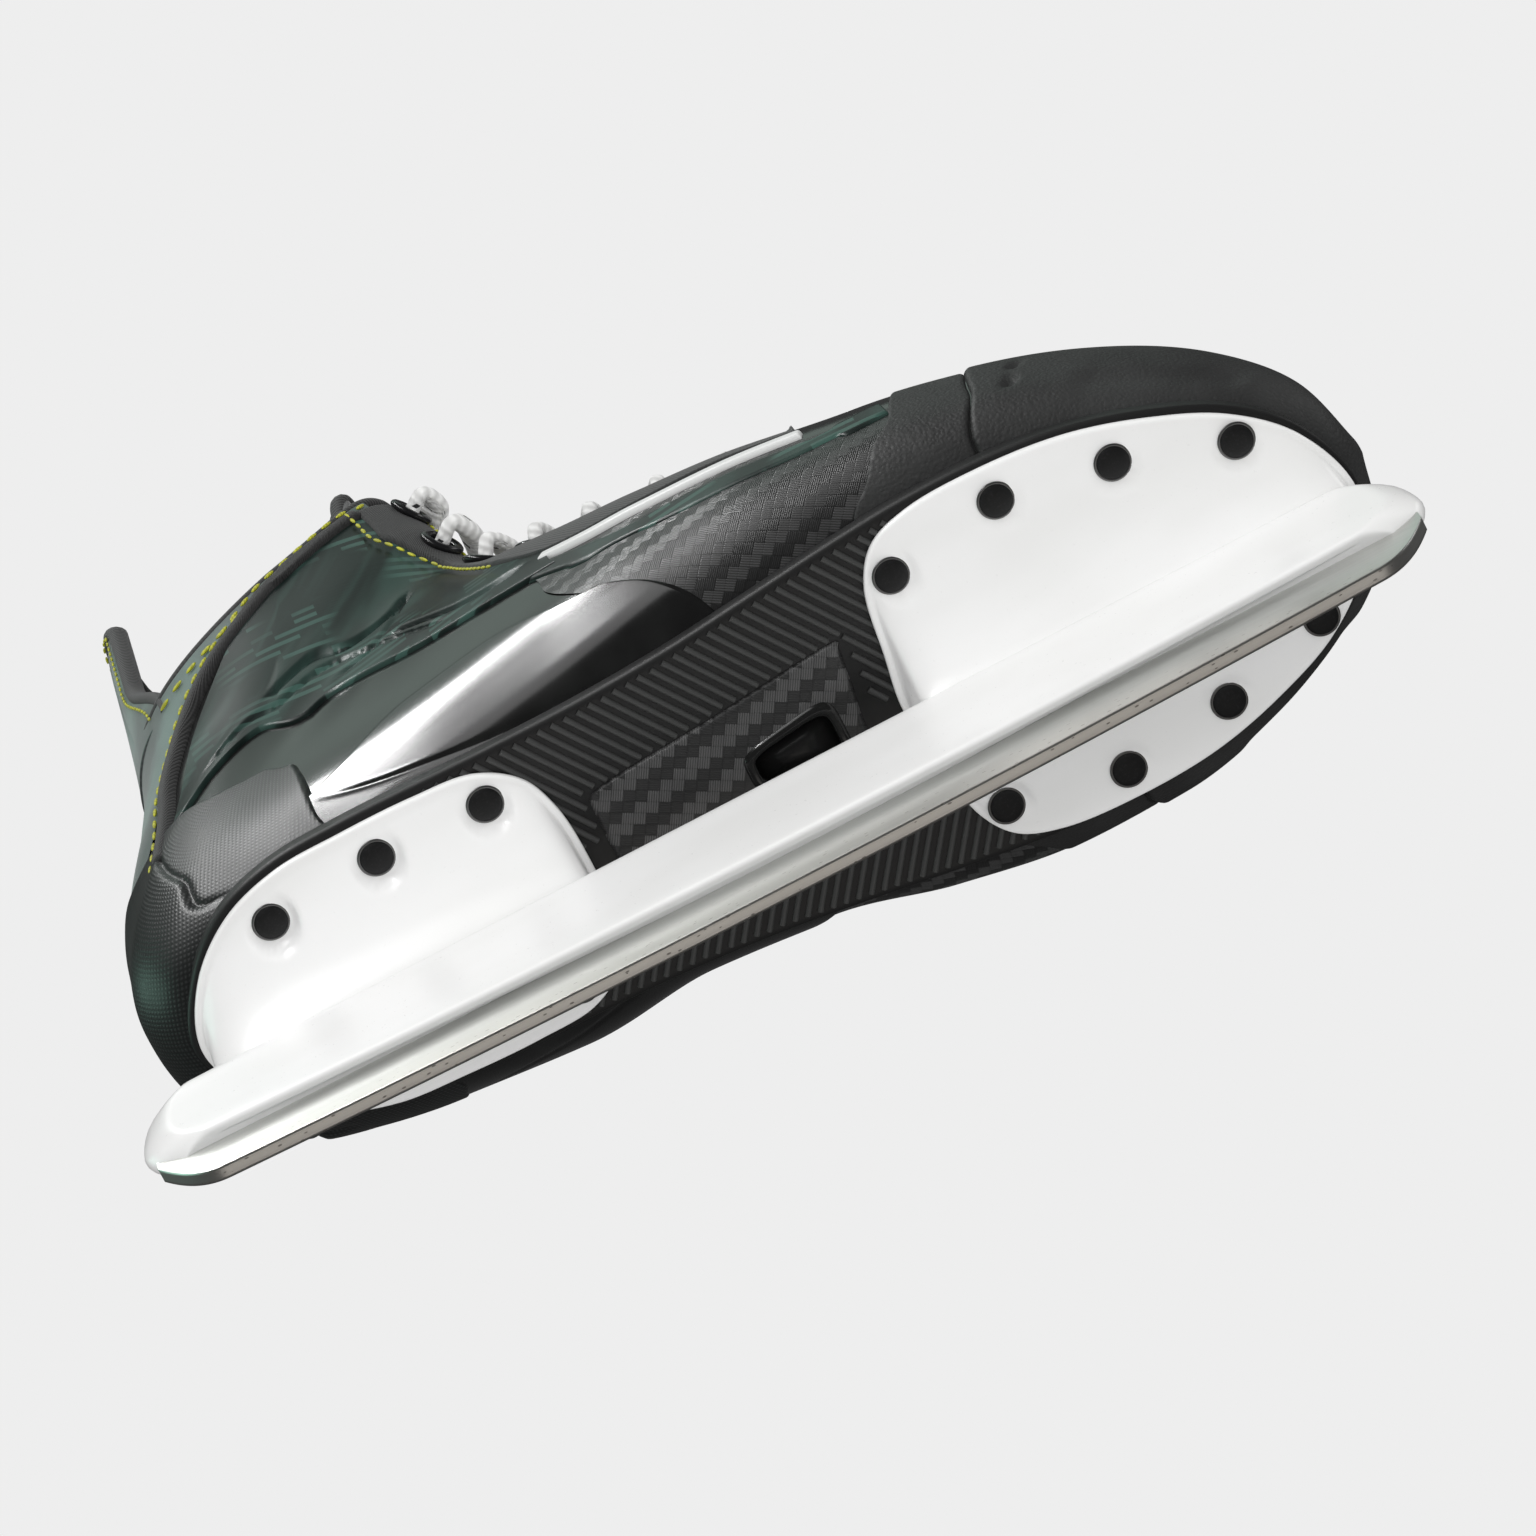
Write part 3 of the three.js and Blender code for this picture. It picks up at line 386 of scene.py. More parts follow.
@dataclass(frozen=True)
class FeltPanel:
    """Soft grey-green panel with short fibre and faint cloudy patches."""

    name: str = "collar_finish"
    base: tuple[float, float, float] = (0.105, 0.20, 0.17)
    shade: tuple[float, float, float] = (0.030, 0.058, 0.050)
    rough: float = 0.5

    def make(self) -> Material:
        """Build the material."""
        b = Bench(self.name)
        x, y, z = b.place()
        spot = b.join(x, y, z)
        cloud = b.noise(b.join(x * 0.5, y, z * 0.35), 0.09, 3.0)
        fibre = b.noise(spot, 3.2, 4.0)
        b.colour(b.blend((cloud.ramp(0.38, 0.66) * 0.8 + fibre * 0.2).capped(), self.shade, self.base))
        b.roughness(self.rough + fibre * 0.15)
        b.relief(fibre, 0.06, 0.6)
        b.fixed(Sheen_Weight=0.25, Sheen_Roughness=0.45)
        return b.material


@dataclass(frozen=True)
class RibbedCloth:
    """Cloth with fine diagonal ribs."""

    name: str
    low: tuple[float, float, float]
    high: tuple[float, float, float]
    pitch_mm: float = 0.9
    turn: float = 0.7
    rough: float = 0.7

    def make(self) -> Material:
        """Build the material."""
        b = Bench(self.name)
        u, v = b.lay()
        p = u * math.cos(self.turn) + v * math.sin(self.turn)
        q = v * math.cos(self.turn) - u * math.sin(self.turn)
        rib = (p * (2.0 * math.pi / self.pitch_mm)).sine() * 0.5 + 0.5
        thread = (q * (2.0 * math.pi / (self.pitch_mm * 0.6))).sine() * 0.5 + 0.5
        cloud = b.noise(b.join(u, v), 0.12, 2.0)
        b.colour(b.blend((rib * 0.6 + thread * 0.2 + cloud * 0.3).capped(), self.low, self.high))
        b.roughness(self.rough + rib * 0.1)
        b.relief(rib * 0.8 + thread * 0.25, 0.12, 0.8)
        b.fixed(Sheen_Weight=0.15, Sheen_Roughness=0.5)
        return b.material


@dataclass(frozen=True)
class BraidedLace:
    """White flat braid with dark flecks woven along it."""

    def make(self) -> Material:
        """Build the material."""
        b = Bench("lace_finish")
        u, v = b.lay()
        herring = ((u * 3.4 + (v - 0.5).size() * 9.0).sine() * 0.5 + 0.5)
        strand = ((v * 44.0).sine() * 0.5 + 0.5)
        fleck = ((u / 8.5).wrap(1.0).under(0.11)) * ((v.wrap(0.5) - 0.25).size().under(0.05))
        tone = b.blend((herring * 0.65 + 0.35).capped(), (0.56, 0.56, 0.55), (0.88, 0.88, 0.87))
        b.colour(b.blend(fleck, tone, (0.02, 0.02, 0.022)))
        b.roughness(0.78 + strand * 0.1)
        b.relief(herring * 0.8 + strand * 0.3, 0.22, 0.9)
        b.fixed(Sheen_Weight=0.2, Sheen_Roughness=0.5)
        return b.material


@dataclass(frozen=True)
class HolderNylon:
    """White moulded nylon with a soft gloss."""

    def make(self) -> Material:
        """Build the material."""
        b = Bench("holder_finish")
        x, y, z = b.place()
        spot = b.join(x, y, z)
        flow = b.noise(b.join(x * 0.4, y, z), 0.05, 2.0)
        skin = b.noise(spot, 1.6, 3.0)
        b.colour(b.blend(flow.ramp(0.3, 0.7), (0.86, 0.86, 0.85), (0.91, 0.91, 0.905)))
        b.roughness(0.25 + skin * 0.08)
        b.relief(skin, 0.012, 0.4)
        b.fixed(Subsurface_Weight=0.08, Coat_Weight=0.15, Coat_Roughness=0.1)
        b.shader.inputs["Subsurface Radius"].default_value = (0.003, 0.003, 0.003)
        return b.material


@dataclass(frozen=True)
class GroundSteel:
    """Steel ground along its length, with fine scratches and small nicks on the edge."""

    name: str = "runner_finish"
    base: tuple[float, float, float] = (0.86, 0.87, 0.84)
    rough: float = 0.30

    def make(self) -> Material:
        """Build the material."""
        b = Bench(self.name)
        x, y, z = b.place()
        drawn = b.noise(b.join(x * 0.02, y * 6.0, z * 6.0), 1.0, 4.0)
        smear = b.noise(b.join(x * 0.05, y * 0.8, z * 0.8), 1.0, 3.0)
        nick = b.cells(b.join(x * 0.55, y * 1.4, z * 2.0), 0.55).under(0.14)
        low = z.ramp(10.5, 2.0)
        face = b.blend((drawn * 0.7 + smear * 0.3).capped(), tuple(c * 0.72 for c in self.base), self.base)
        warm = b.blend(low * 0.35, face, (0.62, 0.57, 0.52))
        b.colour(b.blend(nick * low * 0.5, warm, (0.22, 0.19, 0.17)))
        b.roughness(self.rough + drawn * 0.16 + nick * low * 0.2)
        b.fixed(Metallic=1.0)
        b.relief(drawn * 0.6 - nick * low * 0.6, 0.03, 0.6)
        return b.material


@dataclass(frozen=True)
class DarkCoat:
    """Dark coated metal or moulding with a speckled face."""

    name: str
    base: tuple[float, float, float] = (0.035, 0.036, 0.038)
    rough: float = 0.3
    metal: float = 0.0
    speckle: float = 0.0

    def make(self) -> Material:
        """Build the material."""
        b = Bench(self.name)
        x, y, z = b.place()
        spot = b.join(x, y, z)
        grit = b.noise(spot, 2.4, 4.0)
        speck = grit.ramp(0.5, 0.72) * self.speckle
        b.colour(b.blend(speck, self.base, tuple(min(1.0, c * 7.0 + 0.05) for c in self.base)))
        b.roughness(self.rough + grit * 0.12)
        b.relief(grit, 0.03, 0.5)
        b.fixed(Metallic=self.metal)
        return b.material


@dataclass(frozen=True)
class Thread:
    """Waxed sewing thread."""

    name: str
    base: tuple[float, float, float]

    def make(self) -> Material:
        """Build the material."""
        b = Bench(self.name)
        x, y, z = b.place()
        twist = ((x * 5.0 + y * 7.0 + z * 6.0).sine() * 0.5 + 0.5)
        b.colour(b.blend(twist, tuple(c * 0.6 for c in self.base), self.base))
        b.roughness(0.6 + twist * 0.1)
        b.relief(twist, 0.05, 0.7)
        return b.material


# ---- the boot's form
FLOOR = 1.8
SOLE_HEIGHT = 56.6
SOLE_SLOPE = 0.055
SECTIONS = np.array([
    [0.00, 136.5, 14.9, 136.5, 20.9, 0.50, 1, 1, 2.2, 2.2],
    [0.05, 133, 7.7, 132, 34.7, 0.45, 14, 19.5, 2.5, 2.3],
    [0.12, 120, 2.5, 118.5, 47.9, 0.42, 27.5, 33, 3.0, 2.4],
    [0.21, 99, FLOOR, 98, 57.3, 0.40, 38, 44, 3.4, 2.4],
    [0.30, 76, FLOOR, 76, 62.6, 0.38, 45, 50, 3.6, 2.3],
    [0.39, 51, FLOOR, 52, 67.3, 0.38, 48.5, 51.5, 3.6, 2.3],
    [0.47, 26, FLOOR, 29, 77, 0.38, 49, 49, 3.4, 2.4],
    [0.55, 0, FLOOR, 8, 87.8, 0.38, 47, 44, 3.2, 2.5],
    [0.62, -28, FLOOR, -9, 97.9, 0.39, 42.5, 43, 3.2, 2.6],
    [0.69, -60, FLOOR, -20, 108.3, 0.41, 37.5, 46.5, 3.4, 2.8],
    [0.75, -92, FLOOR, -26, 118, 0.46, 33.5, 46, 3.4, 3.2],
    [0.80, -121, 3.2, -29.5, 125.8, 0.50, 31, 44, 2.9, 3.8],
    [0.84, -131.5, 16.2, -32, 132.6, 0.54, 32.5, 42.5, 2.3, 4.2],
    [0.88, -131, 38.2, -34, 139.5, 0.58, 34, 41, 2.0, 4.4],
    [0.92, -124, 71.6, -36, 146.4, 0.60, 35, 39.5, 2.0, 4.4],
    [0.96, -119, 98.9, -38, 153.3, 0.60, 36, 38.5, 2.0, 4.4],
    [1.00, -117, 123, -40, 159.2, 0.60, 36.5, 38, 2.0, 4.4],
    [1.20, -114, 233, -30, 201, 0.60, 36.5, 38, 2.0, 4.4],
])


def sole_z(x: "Array | float") -> "Array | float":
    """Height of the sole plane over a place along the skate."""
    return SOLE_HEIGHT - SOLE_SLOPE * x


def hermite(knots: Array, values: Array, slope: Array, where: Array) -> Array:
    """Cubic pieces through rows of values with the given slopes.

    Args:
        knots: rising positions.
        values: one row for each position.
        slope: the row's rate of change there.
        where: positions that are asked for.

    Returns:
        One row for each position asked for.
    """
    i = np.clip(np.searchsorted(knots, where, side="right") - 1, 0, len(knots) - 2)
    h = (knots[i + 1] - knots[i])[..., None]
    t = ((where - knots[i]) / h[..., 0])[..., None]
    return ((2 * t**3 - 3 * t**2 + 1) * values[i] + (t**3 - 2 * t**2 + t) * slope[i] * h
            + (3 * t**2 - 2 * t**3) * values[i + 1] + (t**3 - t**2) * slope[i + 1] * h)


def monotone(knots: Array, values: Array) -> Callable[[Array], Array]:
    """A smooth curve through points that never overshoots between them.

    Args:
        knots: rising positions.
        values: one value, or one row of values, for each position.

    Returns:
        A function of position.
    """
    knots = np.asarray(knots, float)
    values = np.asarray(values, float).reshape(len(knots), -1)
    run = np.diff(knots)[:, None]
    rise = np.diff(values, axis=0) / run
    slope = np.zeros_like(values)
    slope[0], slope[-1] = rise[0], rise[-1]
    a, b = 2 * run[1:] + run[:-1], run[1:] + 2 * run[:-1]
    same = rise[:-1] * rise[1:] > 0
    with np.errstate(divide="ignore", invalid="ignore"):
        mean = (a + b) / (a / rise[:-1] + b / rise[1:])
    slope[1:-1] = np.where(same, mean, 0.0)

    def curve(where: Array) -> Array:
        """The curve's values at the given places."""
        return hermite(knots, values, slope, np.asarray(where, float))

    return curve


class BootForm:
    """The outside of the boot as a surface of station and angle."""

    rim_dip = 0.042

    def __init__(self) -> None:
        """Prepare the section curve and the map of distances over the form."""
        self._sections = monotone(SECTIONS[:, 0], SECTIONS[:, 1:])
        self._s = np.linspace(0.012, 1.2, 400)
        self._a = np.linspace(-180.0, 180.0, 361)
        grid = self.point(*np.meshgrid(self._s, self._a, indexing="ij"))
        round_steps = np.linalg.norm(np.diff(grid, axis=1), axis=2)
        self._round = np.concatenate([np.zeros((len(self._s), 1)), np.cumsum(round_steps, axis=1)], axis=1)
        self._round -= self._round[:, [180]]
        along_steps = np.linalg.norm(np.diff(grid, axis=0), axis=2)
        self._along = np.concatenate([np.zeros((1, len(self._a))), np.cumsum(along_steps, axis=0)], axis=0)

    def point(self, s: Array, a: Array) -> Array:
        """Points of the form.

        Args:
            s: stations, from 0 at the toe to 1 at the collar.
            a: angles in degrees, 0 at the bottom and back, positive on the inner side.

        Returns:
            Points in millimetres, with a last axis of three.
        """
        s, a = np.broadcast_arrays(np.asarray(s, float), np.asarray(a, float))
        bx, bz, tx, tz, widest, outer, inner, low, high = np.moveaxis(self._sections(s), -1, 0)
        c, d = np.cos(np.radians(a)), np.sin(np.radians(a))
        power = 2.0 / np.where(c > 0, low, high)
        along, across = np.abs(c) ** power, np.sign(d) * np.abs(d) ** power
        eta = np.where(c > 0, widest * (1 - along), widest + (1 - widest) * along)
        z0, z1 = sole_z(bx) + bz, sole_z(tx) + tz
        half = np.where(d > 0, inner, outer)
        return np.stack([bx + (tx - bx) * eta, across * half, z0 + (z1 - z0) * eta], axis=-1)

    def normal(self, s: Array, a: Array) -> Array:
        """Outward directions at the same places."""
        s, a = np.broadcast_arrays(np.asarray(s, float), np.asarray(a, float))
        e, f = 0.004, 1.2
        s0 = np.maximum(s - e, 0.006)
        du = self.point(s0 + 2 * e, a) - self.point(s0, a)
        dv = self.point(s0 + e, a + f) - self.point(s0 + e, a - f)
        n = np.cross(du, dv)
        return n / np.maximum(np.linalg.norm(n, axis=-1, keepdims=True), 1e-9)

    def skin(self, s: Array, a: Array, height: "Array | float") -> Array:
        """Points lifted off the form by a height in millimetres."""
        s, a = np.broadcast_arrays(np.asarray(s, float), np.asarray(a, float))
        return self.point(s, a) + self.normal(s, a) * np.broadcast_to(height, s.shape)[..., None]

    def lay(self, s: Array, a: Array) -> Array:
        """Distances along and round the boot, in millimetres, for weaves and seams."""
        s, a = np.broadcast_arrays(np.asarray(s, float), np.asarray(a, float))
        i = np.clip((s - self._s[0]) / (self._s[1] - self._s[0]), 0, len(self._s) - 1.001)
        j = np.clip((np.mod(a + 180.0, 360.0001)) / (self._a[1] - self._a[0]), 0, len(self._a) - 1.001)
        i0, j0 = i.astype(int), j.astype(int)
        fi, fj = i - i0, j - j0

        def look(table: Array) -> Array:
            """Blend the four corners of each cell."""
            return ((table[i0, j0] * (1 - fi) + table[i0 + 1, j0] * fi) * (1 - fj)
                    + (table[i0, j0 + 1] * (1 - fi) + table[i0 + 1, j0 + 1] * fi) * fj)

        return np.stack([look(self._along), look(self._round)], axis=-1)

    def rim(self, a: "Array | float") -> Array:
        """Station of the collar's edge at an angle."""
        e = (1 - np.cos(np.radians(a))) / 2 / 0.9
        return 1 - self.rim_dip * np.sin(np.pi * np.minimum(e, 1))


FORM = BootForm()


def smooth(t: Array) -> Array:
    """Ease from 0 to 1."""
    t = np.clip(t, 0.0, 1.0)
    return t * t * (3 - 2 * t)


def spline(points: Sequence[Pair], count: int) -> Array:
    """A smooth open line through a few pairs, evenly spread by distance."""
    pts = np.asarray(points, float)
    if len(pts) == 2:
        return pts[0] + (pts[1] - pts[0]) * np.linspace(0, 1, count)[:, None]
    scale = np.array([300.0, 0.9])
    gaps = np.linalg.norm(np.diff(pts * scale, axis=0), axis=1)
    knots = np.concatenate([[0], np.cumsum(gaps)])
    return monotone(knots, pts)(np.linspace(0, knots[-1], count))


# ---- meshes
def build_mesh(name: str, points: Array, faces: Iterable[Sequence[int]], material: Material,
               lay: Array | None = None, smooth_shade: bool = True) -> Piece:
    """Make an object from points in millimetres.

    Args:
        name: the piece's name.
        points: points, one row each.
        faces: point numbers of each face.
        material: the finish.
        lay: two numbers for each point, stored as the map named lay.
        smooth_shade: whether faces are shaded smooth.

    Returns:
        The linked object.
    """
    mesh = bpy.data.meshes.new(name)
    mesh.from_pydata((np.asarray(points) * MM).tolist(), [], [tuple(int(i) for i in f) for f in faces])
    mesh.materials.append(material)
    if lay is not None:
        layer = mesh.uv_layers.new(name="lay")
        loops = np.empty(len(mesh.loops), dtype=np.int32)
        mesh.loops.foreach_get("vertex_index", loops)
        layer.data.foreach_set("uv", np.asarray(lay, np.float32)[loops].ravel())
    mesh.validate()
    mesh.update()
    if smooth_shade:
        mesh.polygons.foreach_set("use_smooth", [True] * len(mesh.polygons))
    piece = bpy.data.objects.new(name, mesh)
    bpy.context.scene.collection.objects.link(piece)
    return piece


def grid_faces(rows: int, columns: int, start: int = 0, closed: bool = False) -> list[tuple[int, ...]]:
    """Quads over a grid of points numbered row by row."""
    faces = []
    last = columns if closed else columns - 1
    for i in range(rows - 1):
        for j in range(last):
            k = (j + 1) % columns
            faces.append((start + i * columns + j, start + (i + 1) * columns + j,
                          start + (i + 1) * columns + k, start + i * columns + k))
    return faces


def face_outward(piece: Piece) -> None:
    """Turn a closed piece's faces outward."""
    work = bmesh.new()
    work.from_mesh(piece.data)
    bmesh.ops.recalc_face_normals(work, faces=work.faces)
    work.to_mesh(piece.data)
    work.free()


def border(rows: int, columns: int) -> list[int]:
    """Point numbers round the edge of a grid, starting along its first row."""
    return (list(range(columns)) + [i * columns + columns - 1 for i in range(1, rows)]
            + [(rows - 1) * columns + j for j in range(columns - 2, -1, -1)]
            + [i * columns for i in range(rows - 2, 0, -1)])


def two_skins(name: str, outer: Array, inner: Array, lay: Array, material: Material) -> Piece:
    """A closed piece from an outer and an inner grid, joined along all four edges.

    Args:
        name: the piece's name.
        outer: grid of points on the outside.
        inner: grid of the same shape on the inside.
        lay: two numbers for each point of a grid.
        material: the finish.

    Returns:
        The piece, its outer faces first.
    """
    rows, columns = outer.shape[:2]
    n = rows * columns
    faces = grid_faces(rows, columns) + [f[::-1] for f in grid_faces(rows, columns, start=n)]
    edge = border(rows, columns)
    faces += [(p, q, q + n, p + n) for p, q in zip(edge, edge[1:] + edge[:1])]
    flat = lay.reshape(-1, 2)
    points = np.concatenate([outer.reshape(-1, 3), inner.reshape(-1, 3)])
    piece = build_mesh(name, points, faces, material, np.concatenate([flat, flat]))
    face_outward(piece)
    return piece


def sweep(name: str, path: Array, widths: Array, heights: Array, material: Material,
          up: Array, sides: int = 12, squareness: float = 1.0) -> Piece:
    """A strand of elliptical section along a path.

    Args:
        name: the piece's name.
        path: points in millimetres.
        widths: full width of the section at each point.
        heights: full height of the section at each point.
        material: the finish.
        up: the section's height direction at each point.
        sides: points round the section.
        squareness: above 1 flattens the section's sides.

    Returns:
        The piece, with distance along and round in its map.
    """
    tangent = np.gradient(path, axis=0)
    tangent /= np.linalg.norm(tangent, axis=1, keepdims=True)
    rise = up - (up * tangent).sum(1, keepdims=True) * tangent
    rise /= np.maximum(np.linalg.norm(rise, axis=1, keepdims=True), 1e-6)
    across = np.cross(tangent, rise)
    t = np.linspace(0, 2 * np.pi, sides, endpoint=False)
    c, s = np.cos(t), np.sin(t)
    c, s = np.sign(c) * np.abs(c) ** (1 / squareness), np.sign(s) * np.abs(s) ** (1 / squareness)
    ring = (path[:, None] + across[:, None] * (c[None, :, None] * widths[:, None, None] / 2)
            + rise[:, None] * (s[None, :, None] * heights[:, None, None] / 2))
    distance = np.concatenate([[0], np.cumsum(np.linalg.norm(np.diff(path, axis=0), axis=1))])
    lay = np.stack(np.broadcast_arrays(distance[:, None], (t / (2 * np.pi))[None]), axis=-1)
    rows = len(path)
    points = np.concatenate([ring.reshape(-1, 3), path[:1], path[-1:]])
    flat = np.concatenate([lay.reshape(-1, 2), [[0, 0.5]], [[distance[-1], 0.5]]])
    faces = grid_faces(rows, sides, closed=True)
    start, end = rows * sides, rows * sides + 1
    faces += [(start, (j + 1) % sides, j) for j in range(sides)]
    faces += [(end, (rows - 1) * sides + j, (rows - 1) * sides + (j + 1) % sides) for j in range(sides)]
    piece = build_mesh(name, points, faces, material, flat)
    face_outward(piece)
    return piece


@dataclass
class Patch:
    """A raised panel on the boot's form, bounded by four lines.

    Attributes:
        name: the piece's name.
        near: line of (station, angle) along one edge.
        far: line of (station, angle) along the opposite edge, the same way round.
        rows: steps from near to far.
        columns: steps along the edges.
        height: the face's height over the form, in millimetres.
        foot: the edges' height, usually buried in what lies under the panel.
        roll: width over which each edge is rounded down.
        relief: extra height from stations, angles, and distances over the boot.
        spread: which edges roll, as near, far, start and end.
    """

    name: str
    near: Sequence[Pair]
    far: Sequence[Pair]
    rows: int = 40
    columns: int = 60
    height: float = 0.0
    foot: float = -1.3
    roll: float = 0.8
    relief: Callable[[Array, Array, Array], Array] | None = None
    spread: tuple[bool, bool, bool, bool] = (True, True, True, True)
    middle: Sequence[Pair] | None = None

    def _ramp(self, count: int, low: bool, high: bool) -> Array:
        """Steps from 0 to 1 that crowd towards the edges that roll."""
        t = np.linspace(0, 1, count)
        extra = np.array([0.0008, 0.003, 0.007, 0.012, 0.02])
        parts = [t]
        if low:
            parts.append(extra)
        if high:
            parts.append(1 - extra)
        return np.unique(np.concatenate(parts))

    def make(self, material: Material) -> Piece:
        """Build the panel.

        Args:
            material: the finish.

        Returns:
            The piece.
        """
        u = self._ramp(self.rows, self.spread[0], self.spread[1])
        v = self._ramp(self.columns, self.spread[2], self.spread[3])
        fine = 200
        near, far = spline(self.near, fine), spline(self.far, fine)
        pick = v * (fine - 1)
        i = np.minimum(pick.astype(int), fine - 2)
        f = (pick - i)[:, None]
        near, far = near[i] * (1 - f) + near[i + 1] * f, far[i] * (1 - f) + far[i + 1] * f
        if self.middle is None:
            sa = near[None] * (1 - u[:, None, None]) + far[None] * u[:, None, None]
        else:
            mid = spline(self.middle, fine)
            mid = mid[i] * (1 - f) + mid[i + 1] * f
            w = u[:, None, None]
            sa = near[None] * (1 - w) * (1 - 2 * w) + mid[None] * 4 * w * (1 - w) + far[None] * w * (2 * w - 1)
        s, a = sa[..., 0], sa[..., 1]
        flat = FORM.point(s, a)
        lay = FORM.lay(s, a)
        step_u = np.linalg.norm(np.diff(flat, axis=0), axis=2)
        step_v = np.linalg.norm(np.diff(flat, axis=1), axis=2)
        down = np.concatenate([np.zeros((1, len(v))), np.cumsum(step_u, axis=0)])
        right = np.concatenate([np.zeros((len(u), 1)), np.cumsum(step_v, axis=1)], axis=1)
        edge = np.full(s.shape, 1e6)
        for on, distance in zip(self.spread, (down, down[-1:] - down, right, right[:, -1:] - right)):
            if on:
                edge = np.minimum(edge, distance)
        t = np.clip(edge / self.roll, 0, 1)
        rise = np.sqrt(np.maximum(1 - (1 - t) ** 2, 0))
        lift = self.foot + (self.height - self.foot) * rise
        if self.relief is not None:
            lift = lift + self.relief(s, a, lay) * smooth(edge / (self.roll * 1.5))
        points = FORM.skin(s, a, lift).reshape(-1, 3)
        faces = grid_faces(len(u), len(v))
        piece = build_mesh(self.name, points, faces, material, lay.reshape(-1, 2))
        self._face_out(piece, s, a)
        return piece

    def _face_out(self, piece: Piece, s: Array, a: Array) -> None:
        """Flip the panel if its faces look into the boot."""
        middle = (s.shape[0] // 2, s.shape[1] // 2)
        out = Vector(FORM.normal(s[middle], a[middle]))
        columns = s.shape[1] - 1
        if piece.data.polygons[middle[0] * columns + middle[1]].normal.dot(out) < 0:
            piece.data.flip_normals()


@dataclass(frozen=True)
class Groove:
    """A line pressed into, or raised from, the boot's outside.

    Attributes:
        line: (station, angle) points.
        depth: height at the line's middle; negative presses in.
        width: half width in millimetres.
        step: height gained on the line's left side, for an overlapping edge.
    """

    line: Sequence[Pair]
    depth: float
    width: float
    step: float = 0.0
    step_width: float = 6.0

    def lift(self, s: Array, a: Array, lay: Array) -> Array:
        """Height that the line adds over a grid."""
        path = spline(self.line, 60)
        base = FORM.lay(path[:, 0], path[:, 1])
        shape = lay.shape[:-1]
        flat = lay.reshape(-1, 2)
        best = np.full(len(flat), 1e9)
        side = np.zeros(len(flat))
        taper = np.zeros(len(flat))
        for k in range(len(base) - 1):
            p, q = base[k], base[k + 1]
            d = q - p
            length = max(float(d @ d), 1e-9)
            t = np.clip(((flat - p) @ d) / length, 0, 1)
            gap = flat - (p + t[:, None] * d)
            distance = np.hypot(gap[:, 0], gap[:, 1])
            closer = distance < best
            best = np.where(closer, distance, best)
            side = np.where(closer, np.sign(d[0] * gap[:, 1] - d[1] * gap[:, 0]), side)
            taper = np.where(closer, (k + t) / (len(base) - 1), taper)
        ends = smooth(taper / 0.15) * smooth((1 - taper) / 0.15)
        press = self.depth * np.exp(-((best / self.width) ** 2))
        ledge = self.step * np.where(side > 0, np.exp(-((best / self.step_width) ** 2)), 0.0)
        return ((press + ledge) * ends).reshape(shape)


def relief_of(grooves: Sequence[Groove]) -> Callable[[Array, Array, Array], Array]:
    """One relief function from several grooves."""

    def lift(s: Array, a: Array, lay: Array) -> Array:
        """Sum of the grooves' heights."""
        total = np.zeros(s.shape)
        for groove in grooves:
            total = total + groove.lift(s, a, lay)
        return total

    return lift


